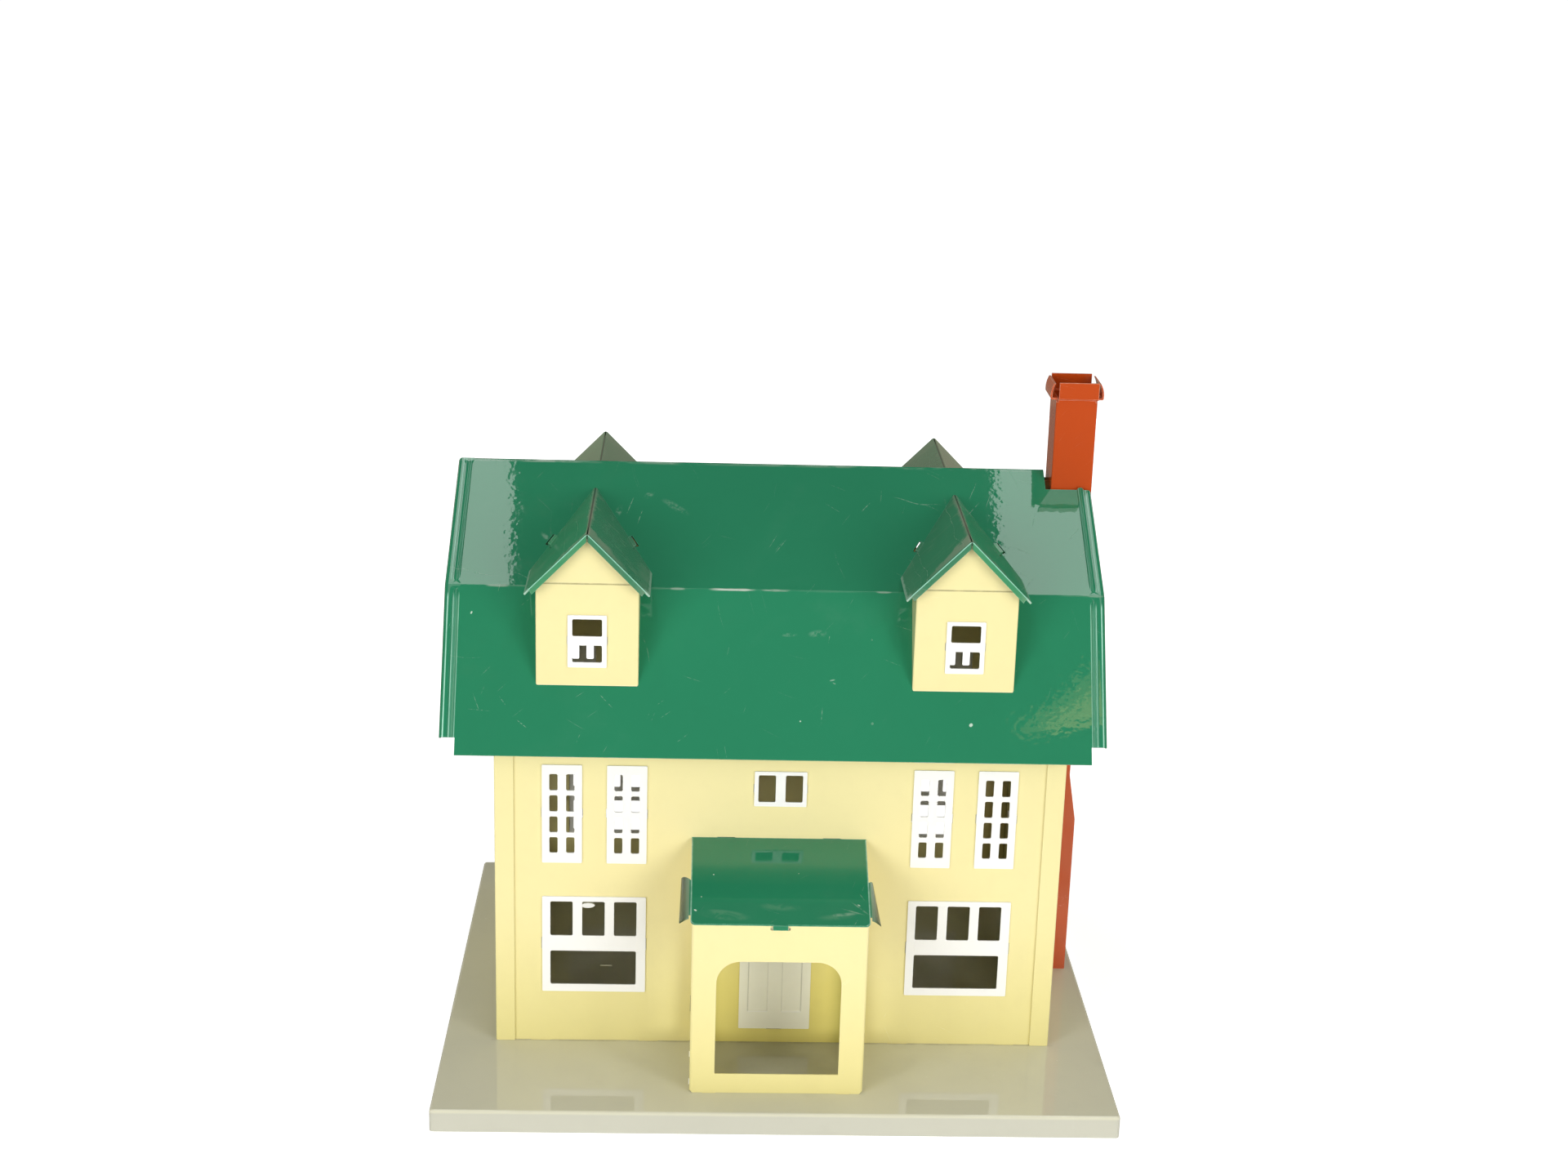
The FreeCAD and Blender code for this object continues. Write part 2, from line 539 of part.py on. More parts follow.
def bead(x, a, b, nose_a, nose_b, r, rise):
    """Cigar-shaped rod from a to b (Y, Z), its axis sunk so it stands proud by rise."""
    d = unit(a, b)
    L = math.hypot(b[0] - a[0], b[1] - a[1])
    pts = [V(0, 0, 0)]
    edges = []
    if nose_a > 0:
        el = Part.Ellipse(V(nose_a, 0, 0), nose_a, r) if nose_a > r else Part.Circle(V(nose_a, 0, 0), V(0, 0, 1), nose_a)
        arc = el.toShape(math.pi / 2, math.pi)
        edges.append(arc)
        p1 = V(nose_a, r, 0)
    else:
        edges.append(Part.makeLine(V(0, 0, 0), V(0, r, 0)))
        p1 = V(0, r, 0)
    p2 = V(L - nose_b, r, 0)
    edges.append(Part.makeLine(p1, p2))
    el = Part.Ellipse(V(L - nose_b, 0, 0), nose_b, r)
    edges.append(el.toShape(0, math.pi / 2))
    edges.append(Part.makeLine(V(L, 0, 0), V(0, 0, 0)))
    w = Part.Wire(Part.__sortEdges__(edges))
    s = Part.Face(w).revolve(V(0, 0, 0), V(1, 0, 0), 360)
    # local x -> along the slope, centre sunk under the outer surface
    n = (-d[1], d[0])       # outward normal in Y, Z
    if n[1] < 0:
        n = (-n[0], -n[1])
    sink = rise - r
    rot = FreeCAD.Rotation(V(1, 0, 0), V(0, d[0], d[1]))
    s.Placement = FreeCAD.Placement(V(x, a[0] + n[0] * sink, a[1] + n[1] * sink), rot)
    return s


def along(a, b, dist):
    d = unit(a, b)
    return (a[0] + d[0] * dist, a[1] + d[1] * dist)


adds, subs = [], []
for sg, x0 in ((-1, ROOF_L), (1, ROOF_R)):
    roof.append(strip(sg, x0))
    xb = x0 + sg * 1.9
    for rear in (False, True):
        a0, k0, r0 = P0, KNEE, RIDGE
        low = (along(P0, KNEE, 0.3), along(KNEE, P0, 1.6))
        upp = (along(RIDGE, KNEE, 2.2), along(KNEE, RIDGE, 1.0))
        for a, b in (low, upp):
            na = 0 if a == low[0] else 1.9
            o = bead(xb, a, b, na, 6.0, BEAD_R, BEAD_RISE)
            i = bead(xb, along(a, b, 0.0 if na == 0 else 0.8), along(b, a, 1.0), max(na - 0.8, 0), 5.0, BEAD_R - SHEET, BEAD_RISE - SHEET)
            if rear:
                o, i = mirror_rear(o), mirror_rear(i)
            adds.append(o)
            subs.append(i)
roof = fuse(roof + adds)
# keep only what lies above the sheet's underside beneath each bead
roof = roof.cut(subs)

# chimney notch, dormer openings, slots for the dormer roofs' tabs
tools = [box(NOTCH[0], 200, NOTCH[1], NOTCH[2], 200, 300)]
for cx in DORMER_X:
    b = box(cx - 20.5, cx + 20.5, -64.5, -31.0, 150, 300)
    tools += [b, mirror_rear(b)]
SLOT_A, SLOT_B = (19.9, -24.95), (16.5, -19.5)      # |x| from the dormer's middle, Y


def upper_z(y):
    return KNEE[1] + (y - KNEE[0]) * (RIDGE[1] - KNEE[1]) / (RIDGE[0] - KNEE[0])


def slot_box(cx, sg, a, b, w0, w1, n0, n1):
    """Bar on the upper slope from a to b, across from w0 to w1 outward, n0 to n1 along the slope's normal."""
    pa = V(cx + sg * a[0], a[1], upper_z(a[1]))
    pb = V(cx + sg * b[0], b[1], upper_z(b[1]))
    d = pb - pa
    L = d.Length
    d.normalize()
    s = unit(KNEE, RIDGE)
    n = V(0, -s[1], s[0])
    w = d.cross(n)
    if w.x * sg < 0:
        w = w * -1
    o = pa + w * w0 + n * n0
    f = face([o, o + d * L, o + d * L + w * (w1 - w0), o + w * (w1 - w0)])
    return f.extrude(n * (n1 - n0))


for cx in DORMER_X:
    for sg in (-1, 1):
        b = slot_box(cx, sg, SLOT_A, SLOT_B, -0.15, 1.5, -3, 3)
        tools += [b, mirror_rear(b)]
roof = roof.cut(tools)
save("main_roof", roof)

# everything at or below the roof's outer surface, for trimming the dormers
big = [(EAVE[0] - 30, EAVE[1] - 54.55), KNEE, RIDGE, mirror_y(KNEE), mirror_y((EAVE[0] - 30, EAVE[1] - 54.55))]
skin = offset_line(big, -0.06)
below = prism_yz([(skin[0][0], 60)] + skin + [(skin[-1][0], 60)], -200, 200)

# -------------------------------------------------------------------- dormers
k = (DROOF_APEX - DROOF_EAVE) / DROOF_HALF
ct = math.cos(math.atan(k))
dt = SHEET / ct


def dz(x):
    return DROOF_APEX - k * abs(x)


hw = DORMER_W / 2
hi = lambda x: dz(x) - dt - 0.25 / ct
front = prism_xz([(-hw, 150), (hw, 150), (hw, hi(hw)), (0, hi(0)), (-hw, hi(hw))], DORMER_Y, DORMER_Y + SHEET)
cheeks = [box(-hw, -hw + SHEET, DORMER_Y, 0, 150, hi(hw)), box(hw - SHEET, hw, DORMER_Y, 0, 150, hi(hw))]
walls = fuse([front] + cheeks)
walls = rounded(walls, "z", 0.7, lambda p: abs(abs(p.x) - hw) < 1e-3 and abs(p.y - DORMER_Y) < 1e-3)
walls = walls.cut(below)
walls = max(walls.Solids, key=lambda s: s.Volume)
# pressed crease across the foot of the little gable
walls = walls.cut(box(-hw - 1, hw + 1, DORMER_Y - 1, DORMER_Y + 0.38, 233.05, 233.6))
walls = walls.cut([place(c_, "front", 0, 194.8, DORMER_Y) for c_ in dormer_cut])
window = place(dormer_window, "front", 0, 194.8, DORMER_Y)

y0, y1 = DROOF_Y, 12.0
xo = DROOF_HALF
profile = [(-xo, dz(xo)), (0, DROOF_APEX), (xo, dz(xo)), (xo - dt * 0.5, dz(xo) - dt * 0.5), (0, DROOF_APEX - dt), (-xo + dt * 0.5, dz(xo) - dt * 0.5)]
droof = prism_xz(profile, y0, y1)
droof = rounded(droof, "y", 1.4, lambda p: abs(p.x) < 1e-3 and p.z > DROOF_APEX - 0.1)
xl = xo - 2.3
ld = DROOF_LIP / ct
lip = prism_xz([(-xl, dz(xl) - 0.3), (0, DROOF_APEX - 0.45), (xl, dz(xl) - 0.3), (xl - ld * 0.45, dz(xl) - ld * 0.9), (0, DROOF_APEX - ld - 0.6), (-xl + ld * 0.45, dz(xl) - ld * 0.9)],
               y0, y0 + SHEET)
lip = lip.cut(box(-0.12, 0.12, y0 - 1, y0 + 2, DROOF_APEX - ld - 2, DROOF_APEX - 2.3))
droof = fuse([droof, lip])
# the ridge is split for a short way behind the lip
droof = droof.cut(face([V(-0.28, y0 + 1.1, DROOF_APEX - 4), V(0.28, y0 + 1.1, DROOF_APEX - 4), V(0.1, y0 + 12.0, DROOF_APEX - 4), V(-0.1, y0 + 12.0, DROOF_APEX - 4)]).extrude(V(0, 0, 8)))
droof = droof.cut(below)
droof = max(droof.Solids, key=lambda s: s.Volume)
for cx, lr in zip(DORMER_X, ("left", "right")):
    w = walls.copy()
    w.translate(V(cx, 0, 0))
    win = window.copy()
    win.translate(V(cx, 0, 0))
    r = droof.copy()
    r.translate(V(cx, 0, 0))
    tabs = []
    for sg in (-1, 1):
        tabs.append(slot_box(cx, sg, (19.6, -24.45), (16.8, -20.0), 0.05, 0.55, -2.6, 0.5))
        tabs.append(slot_box(cx, sg, (19.6, -24.45), (16.8, -20.0), -1.6, 0.55, 0.12, 0.75))
    r = fuse([r] + tabs)
    for fr in ("front", "rear"):
        if fr == "rear":
            w, win, r = mirror_rear(w), mirror_rear(win), mirror_rear(r)
        save("dormer_walls_%s_%s" % (fr, lr), w)
        save("dormer_window_%s_%s" % (fr, lr), win)
        save("dormer_roof_%s_%s" % (fr, lr), r)


# -------------------------------------------------------------------- chimney
X0, X1, Y0, Y1 = STACK
xw = HOUSE_HX + 0.05
prof = [(xw, WALL_Z0), (CHIM_XO, WALL_Z0), (CHIM_XO, CHIM_SH0), (CHIM_XN, CHIM_SH1), (CHIM_XN, STACK_JOIN), (xw, STACK_JOIN)]
chim = prism_xz(prof, Y0, Y1)
chim = rounded(chim, "z", 0.8, lambda p: p.x > xw + 5)
hollow = [(xw - 1, 0), (CHIM_XO - SHEET, 0), (CHIM_XO - SHEET, CHIM_SH0 - 0.1), (CHIM_XN - SHEET, CHIM_SH1 - 0.1), (CHIM_XN - SHEET, 260), (xw - 1, 260)]
chim = chim.cut(prism_xz(hollow, Y0 + SHEET, Y1 - SHEET))
save("chimney_lower", chim)

body = box(X0, X1, Y0, Y1, STACK_JOIN + 0.1, STACK_FOLD + 0.4)
body = rounded(body, "z", 0.6)
body = body.cut(box(X0 + SHEET, X1 - SHEET, Y0 + SHEET, Y1 - SHEET, 200, 330))
g = 0.2
sp = [box(xw + 0.4, CHIM_XN - SHEET - g, Y0 + SHEET + g, Y0 + 2 * SHEET + g, 224, STACK_JOIN + 3),
      box(xw + 0.4, CHIM_XN - SHEET - g, Y1 - 2 * SHEET - g, Y1 - SHEET - g, 224, STACK_JOIN + 3),
      box(CHIM_XN - 2 * SHEET - g, CHIM_XN - SHEET - g, Y0 + SHEET + g, Y1 - SHEET - g, 224, STACK_JOIN + 3)]
link = [box(xw + 0.4, X1 - 0.3, Y0 + 0.3, Y0 + 2 * SHEET + g, STACK_JOIN + 0.1, STACK_JOIN + 0.9),
        box(xw + 0.4, X1 - 0.3, Y1 - 2 * SHEET - g, Y1 - 0.3, STACK_JOIN + 0.1, STACK_JOIN + 0.9),
        box(CHIM_XN - 2 * SHEET - g, X1 - 0.3, Y0 + 0.3, Y1 - 0.3, STACK_JOIN + 0.1, STACK_JOIN + 0.9)]


def flap_arc(o, u, jog, lean, h, a, b, ft):
    """Flap section in the plane of u and Z, swept from a to b along the other axis."""
    def P(s, z):
        return V(o[0] + u[0] * s, o[1] + u[1] * s, o[2] + z)
    if jog > 1.5:
        rj = 0.9
        m = math.sqrt(0.5)
        outer_ = [P(-ft, 0.0), P(jog - rj, 0.0), P(jog - rj + rj * m, rj - rj * m), P(jog, rj), P(jog - lean * 0.2, h * 0.6), P(jog - lean, h)]
        inn = [P(jog - lean - ft, h), P(jog - lean * 0.2 - ft, h * 0.6), P(jog - ft, rj), P(jog - rj - 0.02, ft), P(-ft, ft)]
        es = [Part.makeLine(outer_[0], outer_[1]), Part.Arc(outer_[1], outer_[2], outer_[3]).toShape(),
              Part.Arc(outer_[3], outer_[4], outer_[5]).toShape(), Part.makeLine(outer_[5], inn[0]),
              Part.Arc(inn[0], inn[1], inn[2]).toShape(), Part.makeLine(inn[2], inn[3]), Part.makeLine(inn[3], inn[4]), Part.makeLine(inn[4], outer_[0])]
        w = Part.Wire(es)
    else:
        p = [P(-ft, -0.1), P(0.0, -0.1), P(jog, 0.45), P(jog, h), P(jog - ft, h), P(jog - ft, 0.9), P(-ft, 0.5)]
        w = Part.makePolygon(p + [p[0]])
    v = V(-u[1], u[0], 0)
    w.translate(v * a)
    return Part.Face(w).extrude(v * (b - a))


H = STACK_TOP - STACK_FOLD
cx, cy = (X0 + X1) / 2, (Y0 + Y1) / 2
wx, wy = (X1 - X0) / 2, (Y1 - Y0) / 2
# the corners of the stack are relieved below the flaps
for xa, ya in ((X0, Y0), (X0, Y1), (X1, Y0), (X1, Y1)):
    body = body.cut(box(xa - 0.85, xa + 0.85, ya - 0.85, ya + 0.85, STACK_FOLD - 1.1, STACK_FOLD + 2))
flaps = [flap_arc((cx, Y0, STACK_FOLD), (0, -1), 1.0, 0, H, -wx + 0.95, wx + 0.3, SHEET),
         flap_arc((cx, Y1, STACK_FOLD), (0, 1), 1.4, 0, H, -wx + 0.1, wx - 0.1, SHEET),
         flap_arc((X0, cy, STACK_FOLD), (-1, 0), 2.75, 1.35, H - 0.7, -wy + 0.9, wy - 0.5, SHEET),
         flap_arc((X1, cy, STACK_FOLD), (1, 0), 2.9, 1.5, H - 0.7, -wy + 0.9, wy - 0.5, SHEET)]
save("chimney_stack", fuse([body] + sp + link + flaps))


# ----------------------------------------------------------------------- lamp
lx, ly = LAMP
bt = 1.0
top = BASE_H + 0.02
br = fuse([box(lx - 18, lx + 18, ly - 6, ly + 6, top, top + bt),
           box(lx - 8, lx - 7, ly - 6, ly + 6, top, top + 16),
           box(lx + 7, lx + 8, ly - 6, ly + 6, top, top + 16),
           box(lx - 8, lx + 8, ly - 6, ly + 6, top + 15, top + 16)])
br = br.cut([box(lx - 7, lx + 7, ly - 7, ly + 7, top - 1, top + bt + 0.001)])
br = br.cut([Part.makeCylinder(4.3, 4, V(lx, ly, top + 13))] + [Part.makeCylinder(1.7, 3, V(x, y, top - 1)) for x, y in RIVETS])
save("lamp_bracket", br)

zt = top + 16
sock = Part.makeCylinder(6.0, 13.0, V(lx, ly, zt + 0.05)).cut(Part.makeCylinder(5.2, 13.0, V(lx, ly, zt + 0.85)))
sock = sock.cut(Part.makeCylinder(3.3, 5, V(lx, ly, zt - 1)))
for z in (3.6, 6.4, 9.2):
    sock = sock.fuse(Part.makeTorus(6.0, 0.45, V(lx, ly, zt + z)))
sock = sock.cut(Part.makeCylinder(5.2, 12.0, V(lx, ly, zt + 0.85)))
save("lamp_socket", sock)

ins = fuse([Part.makeCylinder(3.2, 3.0, V(lx, ly, zt - 2.0)), Part.makeCylinder(4.2, 1.0, V(lx, ly, zt - 2.0)), Part.makeCylinder(5.0, 1.2, V(lx, ly, zt + 0.95))])
ins = ins.cut([Part.makeCylinder(1.1, 12, V(lx, ly, zt - 6))])
save("socket_insulator", ins)

con = fuse([Part.makeCylinder(1.0, 5.2, V(lx, ly, zt - 2.6)), Part.makeCylinder(2.0, 0.6, V(lx, ly, zt + 2.2)), Part.makeCylinder(2.0, 0.6, V(lx, ly, zt - 2.65))])
save("centre_contact", con)

riv = []
for x, y in RIVETS:
    shank = Part.makeCylinder(1.5, bt + SHEET + 0.06, V(x, y, BASE_H - SHEET - 0.02))
    head = Part.makeSphere(2.9, V(x, y, top + bt - 1.6), V(0, 0, 1)).common(Part.makeCylinder(3.2, 3, V(x, y, top + bt + 0.02)))
    tail = Part.makeSphere(2.9, V(x, y, BASE_H - SHEET + 1.6)).common(Part.makeCylinder(3.2, 3, V(x, y, BASE_H - SHEET - 3.02)))
    riv.append(fuse([shank, head, tail]))
save("bracket_rivets", Part.makeCompound(riv))

bz = zt + 3.1
bb = Part.makeCylinder(4.75, 11.2, V(lx, ly, bz + 1.0)).fuse(Part.makeCone(2.0, 4.4, 1.0, V(lx, ly, bz)))
for i in range(4):
    bb = bb.fuse(Part.makeTorus(4.6, 0.32, V(lx, ly, bz + 2.6 + 2.2 * i)))
bb = bb.cut(Part.makeCylinder(4.1, 12, V(lx, ly, bz + 8.0)))
save("bulb_base", bb)

zg = bz + 12.2
glass = Part.makeSphere(BULB_R, V(lx, ly, zg + 6.4)).fuse(Part.makeCylinder(4.0, 7.0, V(lx, ly, bz + 8.1)))
glass = glass.cut(Part.makeSphere(BULB_R - 0.6, V(lx, ly, zg + 6.4)).fuse(Part.makeCylinder(3.4, 9.5, V(lx, ly, bz + 8.7))))
save("bulb_glass", glass)
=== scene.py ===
import math
import random
import bpy
import bmesh
from mathutils import Vector, Matrix


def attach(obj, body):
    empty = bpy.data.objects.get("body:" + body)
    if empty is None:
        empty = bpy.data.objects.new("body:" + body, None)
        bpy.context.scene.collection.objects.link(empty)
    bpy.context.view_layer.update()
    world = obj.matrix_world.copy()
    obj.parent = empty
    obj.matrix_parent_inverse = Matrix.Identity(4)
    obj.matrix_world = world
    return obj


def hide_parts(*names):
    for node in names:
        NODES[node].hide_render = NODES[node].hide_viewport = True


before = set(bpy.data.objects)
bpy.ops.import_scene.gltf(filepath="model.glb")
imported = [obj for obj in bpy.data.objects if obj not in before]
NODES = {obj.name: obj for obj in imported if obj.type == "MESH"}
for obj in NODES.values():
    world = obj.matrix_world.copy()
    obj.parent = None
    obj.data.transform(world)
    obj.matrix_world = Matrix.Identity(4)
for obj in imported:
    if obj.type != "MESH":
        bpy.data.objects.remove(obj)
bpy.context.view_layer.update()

# Painted stamped-steel toy house. Everything is in metres, in the CAD frame:
# +X right when facing the door, +Y front to back, +Z up.

SCENE = bpy.context.scene
random.seed(7)


# --------------------------------------------------------------------- camera
def make_camera():
    yaw, pitch, roll = (math.radians(a) for a in (2.17494, -17.63137, 1.71171))
    fwd = Vector((math.sin(yaw) * math.cos(pitch), math.cos(yaw) * math.cos(pitch), math.sin(pitch)))
    right = Vector((math.cos(yaw), -math.sin(yaw), 0.0))
    up = right.cross(fwd)
    r = right * math.cos(roll) + up * math.sin(roll)
    u = -right * math.sin(roll) + up * math.cos(roll)
    data = bpy.data.cameras.new("camera")
    data.sensor_fit = "HORIZONTAL"
    data.sensor_width = 36.0
    data.lens = 2869.2477 / 1920.0 * 36.0
    data.clip_start = 0.02
    data.clip_end = 60.0
    cam = bpy.data.objects.new("camera", data)
    SCENE.collection.objects.link(cam)
    m = Matrix.Identity(4)
    for i in range(3):
        m[i][0], m[i][1], m[i][2] = r[i], u[i], -fwd[i]
    m[0][3], m[1][3], m[2][3] = -0.0383209, -1.0437717, 0.5436708
    cam.matrix_world = m
    SCENE.camera = cam


make_camera()


# ---------------------------------------------------------------- node helpers
class Tree:
    """A thin layer over a node tree: each call returns the socket it makes."""

    def __init__(self, tree):
        self.t = tree
        self.t.nodes.clear()

    def node(self, kind, props=None, ins=None):
        n = self.t.nodes.new(kind)
        for k, v in (props or {}).items():
            setattr(n, k, v)
        for k, v in (ins or {}).items():
            self.put(n.inputs[k], v)
        return n

    def put(self, sock, v):
        if isinstance(v, bpy.types.NodeSocket):
            self.t.links.new(v, sock)
        else:
            sock.default_value = v

    def math(self, op, a, b=None, c=None, clamp=False):
        n = self.node("ShaderNodeMath", {"operation": op, "use_clamp": clamp})
        for s, v in zip(n.inputs, (a, b, c)):
            if v is not None:
                self.put(s, v)
        return n.outputs[0]

    def vmath(self, op, a, b=None, scale=None):
        n = self.node("ShaderNodeVectorMath", {"operation": op})
        self.put(n.inputs[0], a)
        if b is not None:
            self.put(n.inputs[1], b)
        if scale is not None:
            self.put(n.inputs["Scale"], scale)
        return n.outputs["Value"] if op in ("DOT_PRODUCT", "LENGTH", "DISTANCE") else n.outputs["Vector"]

    def noise(self, vec, scale, detail=2.0, rough=0.5, distort=0.0, color=False):
        n = self.node("ShaderNodeTexNoise", {"noise_dimensions": "3D"},
                      {"Vector": vec, "Scale": scale, "Detail": detail, "Roughness": rough, "Distortion": distort})
        return n.outputs["Color" if color else "Fac"]

    def remap(self, v, a, b, c=0.0, d=1.0, smooth=True):
        n = self.node("ShaderNodeMapRange", {"interpolation_type": "SMOOTHSTEP" if smooth else "LINEAR", "clamp": True},
                      {"Value": v, "From Min": a, "From Max": b, "To Min": c, "To Max": d})
        return n.outputs["Result"]

    def mix(self, fac, a, b, blend="MIX"):
        n = self.node("ShaderNodeMix", {"data_type": "RGBA", "blend_type": blend, "clamp_factor": True})
        self.put(n.inputs[0], fac)
        self.put(n.inputs[6], a)
        self.put(n.inputs[7], b)
        return n.outputs[2]

    def mul(self, a, b):
        return self.math("MULTIPLY", a, b)

    def add(self, a, b):
        return self.math("ADD", a, b)

    def top(self, a, b):
        return self.math("MAXIMUM", a, b)

    def split(self, vec):
        n = self.node("ShaderNodeSeparateXYZ", ins={0: vec})
        return n.outputs

    def join(self, x=0.0, y=0.0, z=0.0):
        return self.node("ShaderNodeCombineXYZ", ins={0: x, 1: y, 2: z}).outputs[0]

    def bump(self, height, distance, normal=None, strength=1.0):
        n = self.node("ShaderNodeBump", ins={"Strength": strength, "Distance": distance, "Height": height})
        if normal is not None:
            self.put(n.inputs["Normal"], normal)
        return n.outputs["Normal"]


def rgb(r, g, b):
    return (r, g, b, 1.0)


def srgb(r, g, b):
    out = []
    for v in (r, g, b):
        v /= 255.0
        out.append(v / 12.92 if v <= 0.04045 else ((v + 0.055) / 1.055) ** 2.4)
    return (out[0], out[1], out[2], 1.0)


def scale_rgb(c, k):
    return (c[0] * k, c[1] * k, c[2] * k, 1.0)


def new_material(name):
    m = bpy.data.materials.new(name)
    m.use_nodes = True
    return m, Tree(m.node_tree)


PLANES = {"xz": (0, 2), "yz": (1, 2), "xy": (0, 1)}


def plane_uv(T, P, plane):
    s = T.split(P)
    a, b = PLANES[plane]
    return T.join(s[a], s[b], 0.0)


def scratches(T, uv, angle, length, width, per_m2, seed, thr=0.13):
    """Thin straight-ish marks of one direction, scattered at random."""
    sx, sy = 2 * thr / length, 2 * thr / width
    keep = max(0.0, 1.0 - per_m2 / (sx * sy))
    rot = T.node("ShaderNodeVectorRotate", {"rotation_type": "Z_AXIS"}, {"Vector": uv, "Angle": math.radians(angle)}).outputs[0]
    v = T.vmath("ADD", T.vmath("MULTIPLY", rot, (sx, sy, 1.0)), (seed * 17.31, seed * 5.77, 0.0))
    vor = T.node("ShaderNodeTexVoronoi", {"voronoi_dimensions": "2D", "feature": "F1"}, {"Vector": v, "Scale": 1.0, "Randomness": 1.0})
    body = T.remap(vor.outputs["Distance"], thr * 0.45, thr, 1.0, 0.0)
    on = T.math("GREATER_THAN", T.split(vor.outputs["Color"])[0], keep)
    level = T.remap(T.split(vor.outputs["Color"])[1], 0.0, 1.0, 0.35, 1.0, smooth=False)
    return T.mul(T.mul(body, on), level)


def spots(T, uv, size, per_m2, seed):
    """Small round chips scattered at random."""
    s = 0.5 / size
    keep = max(0.0, 1.0 - per_m2 / (s * s))
    v = T.vmath("ADD", T.vmath("MULTIPLY", uv, (s, s, 1.0)), (seed * 3.1, seed * 9.7, 0.0))
    vor = T.node("ShaderNodeTexVoronoi", {"voronoi_dimensions": "2D", "feature": "F1"}, {"Vector": v, "Scale": 1.0, "Randomness": 1.0})
    r = T.remap(T.split(vor.outputs["Color"])[2], 0.0, 1.0, 0.08, 0.25, smooth=False)
    body = T.math("LESS_THAN", vor.outputs["Distance"], r)
    on = T.math("GREATER_THAN", T.split(vor.outputs["Color"])[0], keep)
    return T.mul(body, on)


def blob(T, uv, x, y, length, width, angle=0.0, soft=0.5):
    """Soft ellipse at a known place, in mm, long axis turned by angle in degrees."""
    v = T.vmath("SUBTRACT", uv, (x / 1000.0, y / 1000.0, 0.0))
    v = T.node("ShaderNodeVectorRotate", {"rotation_type": "Z_AXIS"}, {"Vector": v, "Angle": -math.radians(angle)}).outputs[0]
    v = T.vmath("MULTIPLY", v, (2000.0 / length, 2000.0 / width, 0.0))
    return T.remap(T.vmath("LENGTH", v), 1.0 - soft, 1.0, 1.0, 0.0)


def gather(T, masks):
    out = masks[0]
    for m in masks[1:]:
        out = T.top(out, m)
    return out


def edge_mask(T, radius, lo=0.02, hi=0.2, samples=4):
    """1 on sharp outer and inner edges of the sheet, 0 on the faces."""
    bev = T.node("ShaderNodeBevel", {"samples": samples}, {"Radius": radius}).outputs[0]
    geo = T.node("ShaderNodeNewGeometry").outputs["Normal"]
    d = T.vmath("DOT_PRODUCT", bev, geo)
    return T.remap(T.math("SUBTRACT", 1.0, d), lo, hi)


